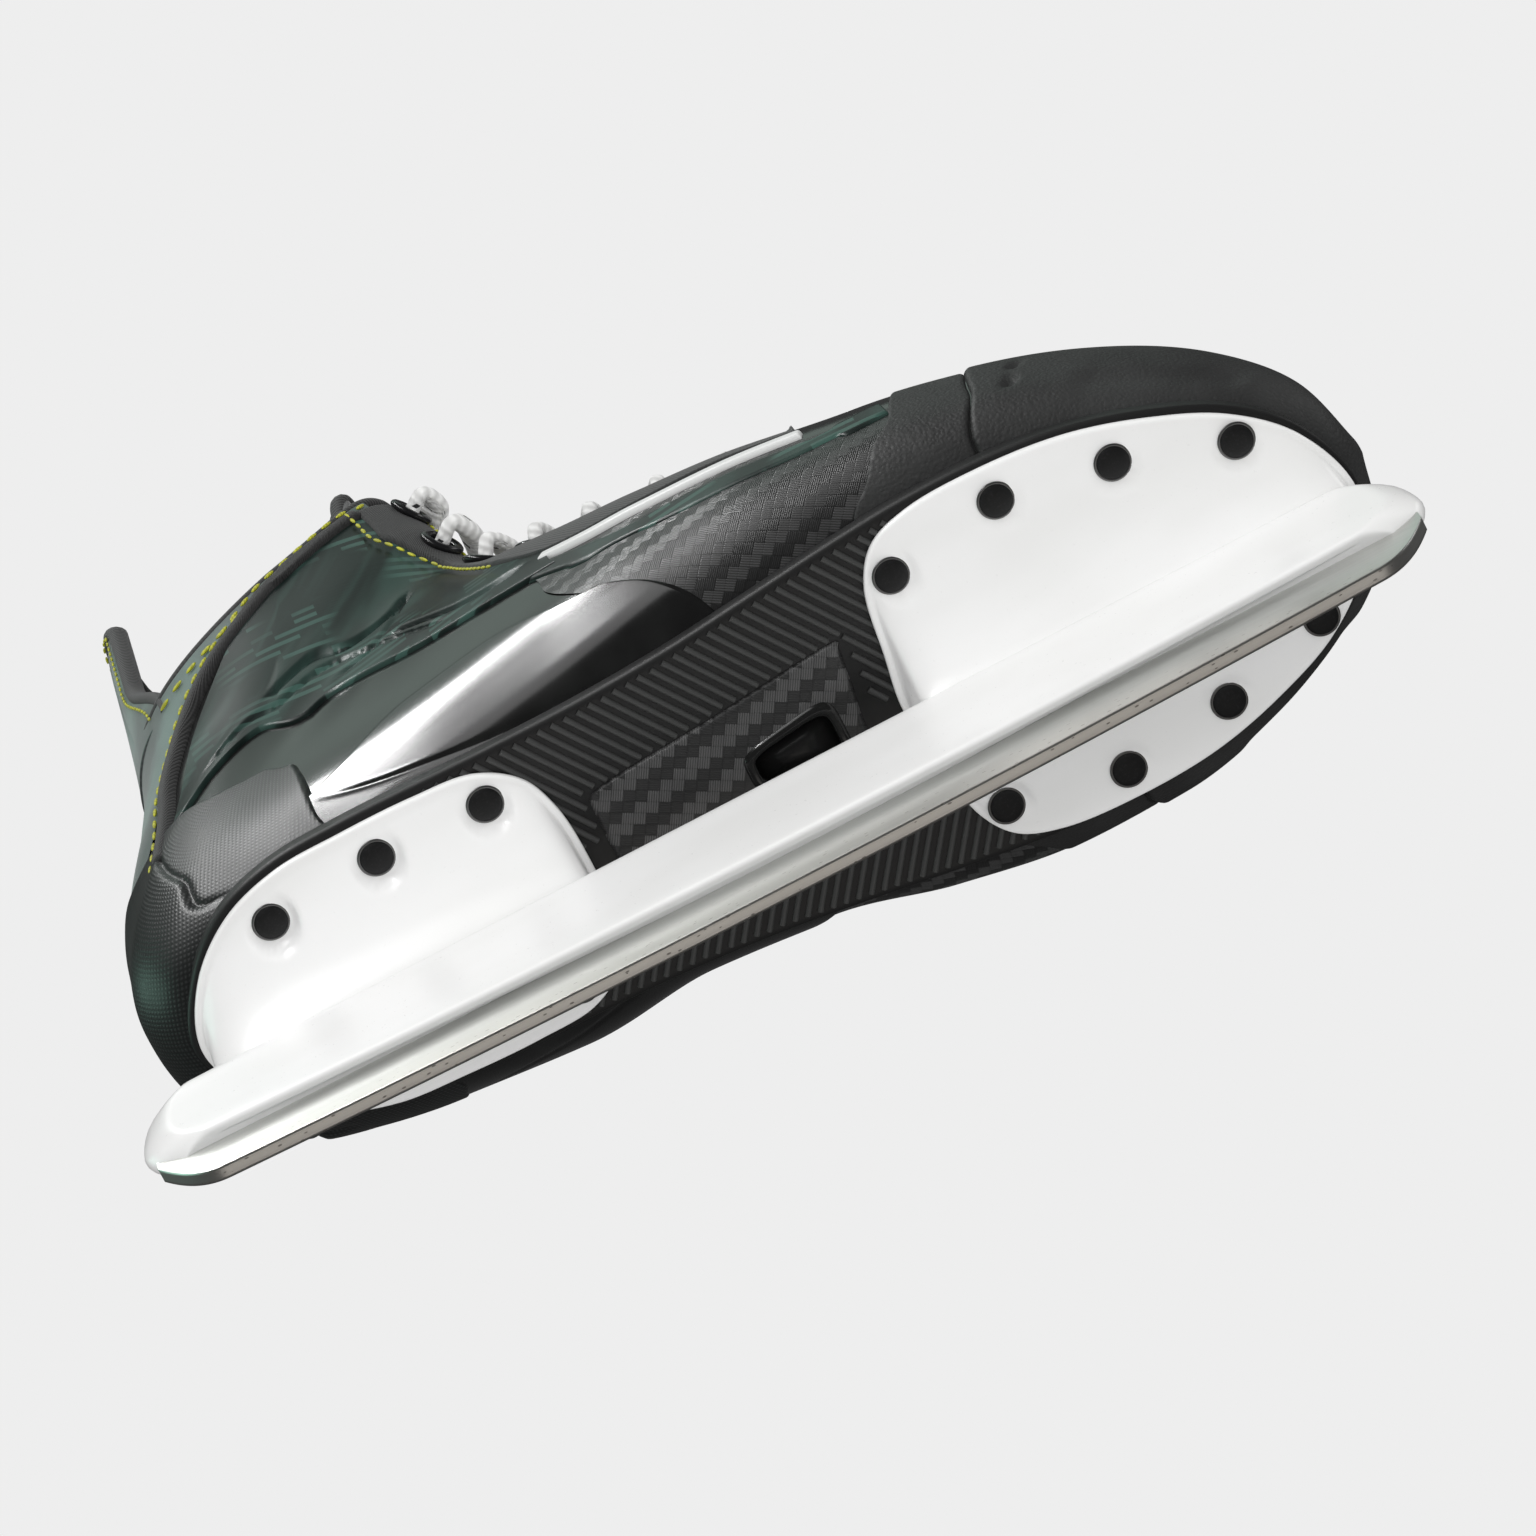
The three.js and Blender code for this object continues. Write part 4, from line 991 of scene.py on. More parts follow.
# ---- geometry nodes
class Repeater:
    """A Geometry Nodes tree that sets one small shape again and again along a guide."""

    def __init__(self, name: str, **sizes: float) -> None:
        """Start a tree with a guide, the named sizes and a result."""
        self.tree = bpy.data.node_groups.new(name, "GeometryNodeTree")
        face = self.tree.interface
        face.new_socket("Guide", in_out="INPUT", socket_type="NodeSocketGeometry")
        face.new_socket("Result", in_out="OUTPUT", socket_type="NodeSocketGeometry")
        self.values: dict[str, float] = {}
        for size, value in sizes.items():
            item = face.new_socket(size, in_out="INPUT", socket_type="NodeSocketFloat")
            self.values[item.identifier] = value
        self.start = self.node("NodeGroupInput")
        self.end = self.node("NodeGroupOutput")

    def node(self, kind: str, sockets: "dict[str | int, object] | None" = None,
             **settings: object) -> bpy.types.Node:
        """Add a node to the tree."""
        return add_node(self.tree, kind, sockets, **settings)

    def size(self, name: str) -> Socket:
        """One of the tree's named sizes."""
        return self.start.outputs[name]

    def place(self, shape: Socket) -> Socket:
        """Set a shape on each guide point, its Z along up and its X along run."""
        points = self.node("GeometryNodeMeshToPoints", {"Mesh": self.start.outputs[0]})
        up, run = (self.node("GeometryNodeInputNamedAttribute", {"Name": key}, data_type="FLOAT_VECTOR")
                   for key in ("up", "run"))
        first = self.node("FunctionNodeAlignEulerToVector", {"Vector": up.outputs["Attribute"]}, axis="Z")
        second = self.node("FunctionNodeAlignEulerToVector", {
            "Rotation": first.outputs["Rotation"], "Vector": run.outputs["Attribute"]}, axis="X", pivot_axis="Z")
        put = self.node("GeometryNodeInstanceOnPoints", {
            "Points": points.outputs[0], "Instance": shape, "Rotation": second.outputs["Rotation"]})
        return put.outputs["Instances"]

    def run(self, shapes: Socket, material: Material, guide: Piece,
            name: str) -> Piece:
        """Finish the tree, apply it to a guide and keep the plain result.

        Args:
            shapes: the socket that carries the shapes.
            material: their finish.
            guide: object whose geometry is followed; it is removed.
            name: the result's name.

        Returns:
            The resulting piece.
        """
        real = self.node("GeometryNodeRealizeInstances", {0: shapes})
        dressed = self.node("GeometryNodeSetMaterial", {"Geometry": real.outputs[0], "Material": material})
        self.tree.links.new(dressed.outputs["Geometry"], self.end.inputs[0])
        modifier = guide.modifiers.new(name, "NODES")
        modifier.node_group = self.tree
        for identifier, value in self.values.items():
            modifier[identifier] = value
        depsgraph = bpy.context.evaluated_depsgraph_get()
        mesh = bpy.data.meshes.new_from_object(guide.evaluated_get(depsgraph))
        piece = bpy.data.objects.new(name, mesh)
        bpy.context.scene.collection.objects.link(piece)
        guide.modifiers.remove(modifier)
        bpy.data.objects.remove(guide, do_unlink=True)
        mesh.polygons.foreach_set("use_smooth", [True] * len(mesh.polygons))
        piece.name = name
        return piece


def oriented_guide(name: str, points: Array, normals: Array, along: Array) -> Piece:
    """Loose points that carry the direction of the surface and of the row through them.

    Args:
        name: name of the guide.
        points: places in millimetres.
        normals: surface directions.
        along: directions of the row.

    Returns:
        A mesh of loose points with the attributes up and run.
    """
    mesh = bpy.data.meshes.new(name)
    mesh.from_pydata((np.asarray(points) * MM).tolist(), [], [])
    for key, values in (("up", normals), ("run", along)):
        attribute = mesh.attributes.new(key, "FLOAT_VECTOR", "POINT")
        attribute.data.foreach_set("vector", np.asarray(values, np.float32).ravel())
    guide = bpy.data.objects.new(name, mesh)
    bpy.context.scene.collection.objects.link(guide)
    return guide


def ring_row(name: str, points: Array, ups: Array, runs: Array, radius: float, thick: float, flat: float,
             material: Material) -> Piece:
    """One ring at each place.

    Args:
        name: the piece's name.
        points: places in millimetres.
        ups: each ring's axis.
        runs: directions of the row.
        radius: radius of the ring's middle line.
        thick: radius of its section.
        flat: how far it is flattened along its axis.
        material: the finish.

    Returns:
        The piece.
    """
    tree = Repeater(name + "_tree", Radius=radius * MM, Thick=thick * MM)
    circle = tree.node("GeometryNodeCurvePrimitiveCircle", {"Resolution": 40, "Radius": tree.size("Radius")})
    profile = tree.node("GeometryNodeCurvePrimitiveCircle", {"Resolution": 12, "Radius": tree.size("Thick")})
    tube = tree.node("GeometryNodeCurveToMesh", {0: circle.outputs[0], 1: profile.outputs[0]})
    shape = tree.node("GeometryNodeTransform", {"Geometry": tube.outputs[0], "Scale": (1.0, 1.0, flat)})
    guide = oriented_guide(name + "_guide", points, ups, runs)
    return tree.run(tree.place(shape.outputs[0]), material, guide, name)


def row_on_form(line: Sequence[Pair], pitch: float, height: float) -> tuple[Array, Array, Array]:
    """Evenly spaced places along a line on the boot.

    Args:
        line: (station, angle) points.
        pitch: spacing in millimetres.
        height: height over the form.

    Returns:
        Places, surface directions and row directions.
    """
    fine = spline(line, 600)
    track = FORM.skin(fine[:, 0], fine[:, 1], height)
    distance = np.concatenate([[0], np.cumsum(np.linalg.norm(np.diff(track, axis=0), axis=1))])
    count = max(2, int(distance[-1] / pitch))
    at = (np.arange(count) + 0.5) * distance[-1] / count
    s, a = np.interp(at, distance, fine[:, 0]), np.interp(at, distance, fine[:, 1])
    e = 0.4
    before = np.stack([np.interp(at - e, distance, track[:, k]) for k in range(3)], axis=1)
    after = np.stack([np.interp(at + e, distance, track[:, k]) for k in range(3)], axis=1)
    run = after - before
    run /= np.linalg.norm(run, axis=1, keepdims=True)
    return FORM.skin(s, a, height), FORM.normal(s, a), run


@dataclass(frozen=True)
class Stitching:
    """Lock stitches: a short pill of thread between each pair of needle holes."""

    length: float = 2.6
    radius: float = 0.42

    def sew(self, name: str, rows: Sequence[Sequence[Pair]], height: float, pitch: float,
            thread: Material) -> Piece:
        """Sew several rows and keep them as one piece.

        Args:
            name: the piece's name.
            rows: lines of (station, angle) points.
            height: height of the thread over the form.
            pitch: spacing of the stitches.
            thread: the finish.

        Returns:
            The piece.
        """
        laid = [row_on_form(line, pitch, height) for line in rows]
        points, ups, runs = (np.concatenate([row[k] for row in laid]) for k in range(3))
        guide = oriented_guide(name + "_guide", points, ups, runs)
        tree = Repeater(name + "_tree", Length=self.length * MM, Radius=self.radius * MM)
        pill = tree.node("GeometryNodeMeshUVSphere", {"Segments": 12, "Rings": 8, "Radius": tree.size("Radius")})
        ratio = tree.node("ShaderNodeMath", {0: tree.size("Length"), 1: tree.size("Radius")}, operation="DIVIDE")
        half = tree.node("ShaderNodeMath", {0: ratio.outputs[0], 1: 0.5}, operation="MULTIPLY")
        stretch = tree.node("ShaderNodeCombineXYZ", {"X": half.outputs[0], "Y": 1.0, "Z": 0.8})
        shape = tree.node("GeometryNodeTransform", {"Geometry": pill.outputs["Mesh"], "Scale": stretch.outputs[0]})
        return tree.run(tree.place(shape.outputs[0]), thread, guide, name)


# ---- seams and ribbons
def beside(line: Sequence[Pair], reach: float, count: int = 80) -> list[Pair]:
    """A line on the boot a fixed distance to one side of another.

    Args:
        line: (station, angle) points.
        reach: distance in millimetres; positive is to the line's left, seen from outside.
        count: points in the result.

    Returns:
        The neighbouring line.
    """
    fine = spline(line, count)
    s, a = fine[:, 0], fine[:, 1]
    track = FORM.point(s, a)
    run = np.gradient(track, axis=0)
    run /= np.linalg.norm(run, axis=1, keepdims=True)
    left = np.cross(FORM.normal(s, a), run)
    ds = (FORM.point(s + 0.002, a) - FORM.point(s - 0.002, a)) / 0.004
    da = (FORM.point(s, a + 0.5) - FORM.point(s, a - 0.5))
    g11, g12, g22 = (ds * ds).sum(1), (ds * da).sum(1), (da * da).sum(1)
    b1, b2 = (left * ds).sum(1), (left * da).sum(1)
    det = g11 * g22 - g12 * g12
    s2 = s + reach * (b1 * g22 - b2 * g12) / det
    a2 = a + reach * (b2 * g11 - b1 * g12) / det
    return list(zip(s2.tolist(), a2.tolist()))


def ribbon(name: str, line: Sequence[Pair], half: float, height: float, material: Material,
           foot: float = -1.3, roll: float = 0.7, columns: int = 160) -> Piece:
    """A narrow strip laid on the boot along a line."""
    patch = Patch(name, beside(line, -half, 60), beside(line, half, 60), rows=10, columns=columns,
                  height=height, foot=foot, roll=roll)
    return patch.make(material)


def on_side(line: Sequence[Pair], side: Side) -> list[Pair]:
    """The same line on the chosen side of the boot, written for positive angles."""
    return [(s, a * side.value) for s, a in line]


@dataclass(frozen=True)
class Seams:
    """The lines that divide the boot's outside, as (station, angle) with angles from the sole up."""

    cap_back: tuple[Pair, ...] = ((.332, 0), (.331, 20), (.33, 41), (.328, 56), (.321, 72), (.311, 90),
                                  (.306, 110), (.31, 135), (.322, 160), (.326, 180))
    wrap_back: tuple[Pair, ...] = ((.432, 14), (.431, 27), (.426, 40), (.408, 54), (.392, 75), (.369, 94),
                                   (.362, 115), (.372, 135), (.394, 152), (.404, 166))
    band_top: tuple[Pair, ...] = ((.581, 73), (.606, 77), (.657, 83.5), (.706, 80), (.739, 66), (.752, 60))
    heel_front: tuple[Pair, ...] = ((.734, 0), (.734, 39), (.74, 50), (.747, 61), (.759, 73), (.767, 78))
    heel_top: tuple[Pair, ...] = (
        (.892, 0), (.888, 22), (.872, 40), (.850, 56), (.827, 68), (.804, 77), (.786, 80))
    quarter_foot: tuple[Pair, ...] = ((.609, 93), (.672, 93.5), (.728, 92), (.781, 90.5), (.822, 86),
                                      (.838, 72), (.846, 56))
    stay_out: tuple[Pair, ...] = ((.432, 98), (.50, 98.5), (.575, 98), (.612, 100), (.66, 110), (.717, 125),
                                  (.77, 133), (.791, 134), (.84, 127), (.896, 115.5), (.952, 112))
    strip: tuple[Pair, ...] = ((.622, 99.5), (.575, 96.2), (.502, 95.2), (.430, 96.3))
    strip_foot: tuple[Pair, ...] = ((.625, 95), (.575, 90.3), (.50, 88.7), (.43, 89.4), (.372, 93.5))
    band_seam: tuple[Pair, ...] = ((.838, 50), (.886, 53), (.912, 57), (.929, 67), (.936, 79), (.944, 90),
                                   (.947, 104), (.949, 114))


SEAMS = Seams()


# ---- studio
@dataclass
class Studio:
    """Camera, pale floor and soft lights."""

    eye: tuple[float, float, float] = (-3.88, -690.10, -1584.31)
    right: tuple[float, float, float] = (0.8883, 0.4220, -0.1810)
    down: tuple[float, float, float] = (-0.4592, 0.8197, -0.3423)
    forward: tuple[float, float, float] = (0.0039, 0.3872, 0.9220)
    lens: float = 210.78
    backdrop: float = 0.855
    fill: float = 0.62
    sheen: float = 0.07

    def make(self) -> None:
        """Place the camera, the lights and the floor."""
        self._camera()
        self._world()
        self._light("strip_side", (-0.45, -1.12, 0.62), (0.05, 1.5), 13.0, "glossy")
        self._light("strip_soft", (-0.36, -1.30, 0.10), (0.40, 1.2), 3.0, "glossy")
        self._light("sheet_top", (0.0, -0.66, 1.6), (1.6, 0.8), 2.0, "glossy", (0.80, 1.0, 0.90))
        self._light("sheet_under", (0.0, 0.75, -1.6), (1.8, 0.9), 3.2, "glossy", (1.0, 0.94, 0.88))
        self._light("toe_edge", (1.3, -0.2, 0.6), (0.2, 1.1), 1.4, "glossy")
        self._light("heel_green", (-1.35, -0.25, 0.45), (0.5, 1.2), 3.2, "glossy", (0.55, 1.0, 0.82))
        self._light("key_below", (0.2, -0.9, -1.3), (1.4, 1.4), 8.6, "diffuse")
        self._light("key_side", (-0.1, -1.6, 0.1), (1.6, 1.2), 8.4, "diffuse")
        self._light("key_above", (-0.2, 0.3, 1.6), (1.5, 1.5), 8.0, "diffuse")
        self._floor()

    def _camera(self) -> None:
        """The viewpoint, low on the outer side and looking up at the sole."""
        data = bpy.data.cameras.new("viewpoint")
        data.lens = self.lens
        data.sensor_width = 36.0
        data.clip_start, data.clip_end = 0.05, 20.0
        camera = bpy.data.objects.new("viewpoint", data)
        turn = Matrix([[self.right[k], -self.down[k], -self.forward[k]] for k in range(3)])
        camera.matrix_world = Matrix.Translation(Vector(self.eye) * MM) @ turn.to_4x4()
        bpy.context.scene.collection.objects.link(camera)
        bpy.context.scene.camera = camera

    def _world(self) -> None:
        """An even pale surround."""
        world = bpy.data.worlds.new("studio")
        world.use_nodes = True
        tree = world.node_tree
        seen = tree.nodes["Background"]
        seen.inputs["Color"].default_value = (self.backdrop, self.backdrop, self.backdrop, 1.0)
        ray = add_node(tree, "ShaderNodeLightPath")
        level = Signal(tree, ray.outputs["Is Glossy Ray"]) * (self.sheen - self.fill) + self.fill
        fill = add_node(tree, "ShaderNodeBackground", {"Color": (1.0, 1.0, 1.0, 1.0), "Strength": level})
        mix = add_node(tree, "ShaderNodeMixShader", {0: ray.outputs["Is Camera Ray"], 1: fill.outputs[0],
                                                     2: seen.outputs[0]})
        tree.links.new(mix.outputs[0], tree.nodes["World Output"].inputs["Surface"])
        bpy.context.scene.view_settings.view_transform = "Standard"
        bpy.context.scene.world = world

    @staticmethod
    def _light(name: str, place: tuple[float, float, float], size: Pair, power: float, task: str,
               tint: tuple[float, float, float] = (1.0, 1.0, 1.0)) -> None:
        """One soft area lamp aimed at the skate.

        Args:
            name: the lamp's name.
            place: where it stands, in metres.
            size: its width and height in metres.
            power: its power in watts.
            task: glossy for a lamp that only makes highlights, diffuse for one that only fills.
            tint: the lamp's colour.
        """
        data = bpy.data.lights.new(name, "AREA")
        data.shape = "RECTANGLE"
        data.size, data.size_y = size
        data.energy = power
        data.color = tint
        lamp = bpy.data.objects.new(name, data)
        lamp.location = place
        lamp.rotation_euler = (Vector((0.0, 0.0, 0.10)) - Vector(place)).to_track_quat("-Z", "Y").to_euler()
        lamp.visible_glossy = task == "glossy"
        lamp.visible_diffuse = task == "diffuse"
        bpy.context.scene.collection.objects.link(lamp)

    @staticmethod
    def _floor() -> None:
        """A pale floor just under the blade that shows only from above."""
        bench = Bench("floor_finish")
        x, y, z = bench.place()
        cloud = bench.noise(bench.join(x, y, z), 0.004, 2.0)
        bench.colour(bench.blend(cloud, (0.80, 0.80, 0.80), (0.82, 0.82, 0.82)))
        bench.fixed(Roughness=0.9, Specular_IOR_Level=0.0)
        tree = bench.tree
        clear = add_node(tree, "ShaderNodeBsdfTransparent")
        under = add_node(tree, "ShaderNodeNewGeometry")
        mix = add_node(tree, "ShaderNodeMixShader", {0: under.outputs["Backfacing"], 1: bench.shader.outputs[0],
                                                     2: clear.outputs[0]})
        tree.links.new(mix.outputs[0], tree.nodes["Material Output"].inputs["Surface"])
        reach = 2500.0
        corners = np.array([[x * reach, y * reach, -0.4] for x, y in ((-1, -1), (1, -1), (1, 1), (-1, 1))])
        floor = build_mesh("floor", corners, [(0, 1, 2, 3)], bench.material, smooth_shade=False)
        floor.visible_diffuse = False
        floor.visible_glossy = False
        floor.visible_transmission = False
        floor.visible_shadow = False


# ---- dressing
class Wardrobe:
    """Every finish, made once."""

    def __init__(self) -> None:
        """Make all the materials."""
        self.grain = GrainedMoulding().make()
        self.gloss = GlossShell().make()
        # Both twills carry painted sheen in their colour: lighter tows and fibre stripes stand in for the fibres'
        # directional reflection.
        self.twill = FibreTwill().make()
        self.outsole = FibreTwill(name="outsole_finish", dark=0.016, light=0.085, tow_mm=2.4, turn=0.51).make()
        self.heel = HeelKnit().make()
        self.quarter = QuarterSkin().make()
        self.strip = DarkCoat("strip_finish", base=(0.75, 0.76, 0.75), rough=0.35).make()
        self.collar = FeltPanel().make()
        self.stay = RibbedCloth("eyestay_finish", (0.006, 0.007, 0.007), (0.024, 0.026, 0.025),
                                pitch_mm=1.1).make()
        self.piping = RibbedCloth("piping_finish", (0.006, 0.006, 0.006), (0.022, 0.022, 0.022),
                                  pitch_mm=0.8).make()
        self.yellow = Thread("yellow_thread", (0.55, 0.56, 0.03)).make()
        self.lace = BraidedLace().make()
        self.holder = HolderNylon().make()
        self.steel = GroundSteel().make()
        self.fastener = GroundSteel("fastener_finish", (0.42, 0.43, 0.44), 0.35).make()
        self.rivet = DarkCoat("rivet_finish", base=(0.004, 0.004, 0.0045), rough=0.6, speckle=0.12).make()
        self.rivet_rim = DarkCoat("rivet_rim_finish", base=(0.20, 0.20, 0.20), rough=0.35, metal=1.0).make()
        self.eyelet = DarkCoat("eyelet_finish", base=(0.008, 0.008, 0.009), rough=0.16).make()
        self.plate = DarkCoat("plate_finish", base=(0.010, 0.010, 0.010), rough=0.45).make()
        self.rib = DarkCoat("rib_finish", base=(0.045, 0.046, 0.045), rough=0.42).make()
        # Near-black vent colour: painted shade for the dark inside of the vent hole.
        self.vent = DarkCoat("vent_finish", base=(0.006, 0.006, 0.006), rough=0.3).make()
        self.tongue = FeltPanel("tongue_finish", (0.03, 0.032, 0.033), (0.014, 0.015, 0.016), 0.75).make()
        self.liner = RibbedCloth("liner_finish", (0.02, 0.022, 0.023), (0.06, 0.064, 0.066),
                                 pitch_mm=1.6, turn=0.2).make()
        self.footbed = FeltPanel("footbed_finish", (0.07, 0.075, 0.08), (0.04, 0.043, 0.046), 0.8).make()


def dress(piece: Piece, body: str = "boot", replaces: Sequence[str] = ()) -> Piece:
    """Say what a piece rides on and hide the frame parts that it stands for."""
    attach(piece, body)
    if replaces:
        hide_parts(*replaces)
    LOG.info("%s: %d faces on %s", piece.name, len(piece.data.polygons), body)
    return piece


# ---- blade holder
def closed_spline(points: Array, count: int) -> Array:
    """Evenly spaced points on a smooth closed curve through the given ones."""
    n = len(points)
    out = []
    for i in range(n):
        p0, p1, p2, p3 = (points[(i + k) % n] for k in (-1, 0, 1, 2))
        t0, t1 = 0.0, np.linalg.norm(p1 - p0) ** 0.5
        t2 = t1 + np.linalg.norm(p2 - p1) ** 0.5
        t3 = t2 + np.linalg.norm(p3 - p2) ** 0.5
        for t in np.linspace(t1, t2, 40, endpoint=False):
            a1 = (t1 - t) / (t1 - t0) * p0 + (t - t0) / (t1 - t0) * p1
            a2 = (t2 - t) / (t2 - t1) * p1 + (t - t1) / (t2 - t1) * p2
            a3 = (t3 - t) / (t3 - t2) * p2 + (t - t2) / (t3 - t2) * p3
            b1 = (t2 - t) / (t2 - t0) * a1 + (t - t0) / (t2 - t0) * a2
            b2 = (t3 - t) / (t3 - t1) * a2 + (t - t1) / (t3 - t1) * a3
            out.append((t2 - t) / (t2 - t1) * b1 + (t - t1) / (t2 - t1) * b2)
    loop = np.array(out)
    ring = np.vstack([loop, loop[:1]])
    far = np.concatenate([[0], np.cumsum(np.linalg.norm(np.diff(ring, axis=0), axis=1))])
    at = np.linspace(0, far[-1], count, endpoint=False)
    return np.stack([np.interp(at, far, ring[:, k]) for k in range(ring.shape[1])], axis=1)


def plan_outline(half: Sequence[Pair], count: int, grow: float = 0.0) -> Array:
    """A closed outline, mirrored from its inner half, and grown or shrunk evenly."""
    ring = [*half, *[(x, -y) for x, y in reversed(half[1:-1])]]
    loop = closed_spline(np.array(ring, float), count)
    if grow == 0.0:
        return loop
    ahead, behind = np.roll(loop, -1, axis=0), np.roll(loop, 1, axis=0)
    t = ahead - behind
    t /= np.linalg.norm(t, axis=1, keepdims=True)
    area = np.sum(loop[:, 0] * ahead[:, 1] - ahead[:, 0] * loop[:, 1])
    out = np.stack([t[:, 1], -t[:, 0]], axis=1) * (1 if area > 0 else -1)
    return loop + out * grow


def stack(name: str, loops: Sequence[Array], material: Material, lay: Array | None = None,
          close: bool = True) -> Piece:
    """A closed skin over a pile of loops of equal count."""
    count = len(loops[0])
    points = np.concatenate(list(loops))
    faces = grid_faces(len(loops), count, closed=True)
    if close:
        points = np.vstack([points, loops[0].mean(0), loops[-1].mean(0)])
        low, high = len(points) - 2, len(points) - 1
        last = (len(loops) - 1) * count
        faces += [(low, (j + 1) % count, j) for j in range(count)]
        faces += [(high, last + j, last + (j + 1) % count) for j in range(count)]
    piece = build_mesh(name, points, faces, material, lay)
    face_outward(piece)
    return piece


@dataclass
class BladeHolder:
    """White moulded holder: a bar along the blade and two hollow towers that carry the boot."""

    length: float = 280.0
    width: float = 12.0
    bridge_top: float = 40.0
    exposed: float = 11.3
    flange: float = 2.2
    flare: float = 3.6
    front: tuple[Pair, ...] = ((32, 0), (33.5, 12), (36, 27), (41, 34.5), (50, 38), (66, 39), (84, 37.5),
                               (100, 33), (115, 26), (126, 15.5), (131.5, 0))
    heel: tuple[Pair, ...] = ((-36.5, 0), (-37.5, 14), (-41, 22.5), (-49, 28), (-62, 29.3), (-78, 29.2),
                              (-93, 28.2), (-106, 23.5), (-117, 13.5), (-122.5, 0))
    rivets: tuple[tuple[float, float], ...] = ((41.8, 27.6), (66.7, 32.1), (90.5, 28.4), (114.1, 21),
                                               (-49.7, 22), (-73.6, 22), (-98, 19.6))

    def make(self, looks: Wardrobe) -> None:
        """Build the bar and the towers, and lay the rivets in their seats."""
        bar = self._bar(looks.holder)
        towers = [self._tower(name, half, looks.holder) for name, half in
                  (("holder_front_tower", self.front), ("holder_heel_tower", self.heel))]
        dress(bar, replaces=["blade_holder"])
        for tower in towers:
            dress(tower)
        self._rivets(looks)

    def _bar(self, material: Material) -> Piece:
        """The bar, with rounded ends and a bottom that follows the blade's rocker."""
        low, top = self.exposed, self.bridge_top
        levels = np.array([[low + 0.2, -9.0, 0.50, 1.0], [low, -7.8, 0.70, 1.0], [low + 0.5, -7.0, 0.84, 1.0],
                           [low + 4, -2, 0.88, 0.9], [(low + top) / 2 - 3, 0, 0.90, 0.6],
                           [top - 7, -1.5, 0.95, 0.2],
                           [top - 2, -5, 0.99, 0], [top, -9, 0.90, 0], [top + 0.6, -14, 0.7, 0]])
        t = np.linspace(0, len(levels) - 1, 33)
        fine = monotone(np.arange(len(levels)), levels)(t)
        count = 220
        turn = 2 * np.pi * np.arange(count) / count
        c = np.cos(turn)
        flat = np.sign(c) * (1 - (1 - np.abs(c)) ** 1.6)
        bow = np.minimum(1, np.sqrt(np.maximum(1 - flat**2, 0)) * 3.2)
        loops = []
        for z, reach, width, bend in fine:
            x = flat * (self.length / 2 + reach)
            y = np.sign(np.sin(turn)) * bow * (self.width / 2) * width
            loops.append(np.stack([x, y, z + bend * x * x / 3600.0], axis=1))
        return stack("holder_bar", loops, material)

    def _tower(self, name: str, half: Sequence[Pair], material: Material) -> Piece:
        """One tower, flaring from the bar to its flange, with a flat seat round each rivet."""
        count = 360
        wall = plan_outline(half, count, -1.4)
        edge = plan_outline(half, count)
        base = self.bridge_top - 9.0
        neck = (self.width / 2 - 2.0) / np.abs(wall[:, 1]).max()
        loops = []
        for t in np.linspace(0, 1, 56):
            squeeze = neck + (1 - neck) * t**self.flare
            z = base + (sole_z(wall[:, 0]) - self.flange - base) * t
            loops.append(np.stack([wall[:, 0], wall[:, 1] * squeeze, z], axis=1))
        for drop, mix in ((-self.flange + 0.02, 0.3), (-self.flange + 0.12, 0.7), (-self.flange + 0.4, 0.93),
                          (-self.flange + 0.8, 1.0), (-0.7, 1.0), (-0.35, 0.92), (-0.3, 0.7)):
            xy = wall * (1 - mix) + edge * mix
            loops.append(np.stack([xy[:, 0], xy[:, 1], sole_z(xy[:, 0]) + drop], axis=1))
        for loop in loops[:57]:
            self._press_seats(loop)
        return stack(name, loops, material)

    def _press_seats(self, loop: Array) -> None:
        """Lift the skin to a flat seat wherever a rivet's head stands."""
        for x, y in self.rivets:
            for side in (-1, 1):
                seat = sole_z(x) - self.flange - 0.9
                away = np.hypot(loop[:, 0] - x, loop[:, 1] - y * side)
                w = 1 - smooth((away - 4.4) / 1.6)
                loop[:, 2] = np.where(loop[:, 2] < seat, loop[:, 2] * (1 - w) + seat * w, loop[:, 2])

    def _rivets(self, looks: Wardrobe) -> None:
        """Domed rivet heads, each in a thin bright washer ring."""
        places, names = [], []
        for x, y in self.rivets:
            for side in (-1, 1):
                places.append((x, y * side, float(sole_z(x)) - self.flange - 0.9))
        for part, count in (("front", 4), ("heel", 3)):
            for side in Side:
                names += [f"rivet_{part}_{side.label}_{k}" for k in range(1, count + 1)]
        points = np.array(places)
        ups = np.tile([[0.055, 0.0, -1.0]], (len(points), 1))
        runs = np.tile([[1.0, 0.0, 0.055]], (len(points), 1))
        tree = Repeater("rivet_head_tree", Radius=3.5 * MM)
        ball = tree.node("GeometryNodeMeshUVSphere", {"Segments": 36, "Rings": 18, "Radius": tree.size("Radius")})
        shape = tree.node("GeometryNodeTransform", {"Geometry": ball.outputs["Mesh"], "Scale": (1.0, 1.0, 0.30)})
        heads = tree.run(tree.place(shape.outputs[0]), looks.rivet,
                         oriented_guide("rivet_guide", points, ups, runs), "rivet_heads")
        rims = ring_row("rivet_rims", points, ups, runs, 3.6, 0.34, 0.8, looks.rivet_rim)
        dress(heads, replaces=names)
        dress(rims)


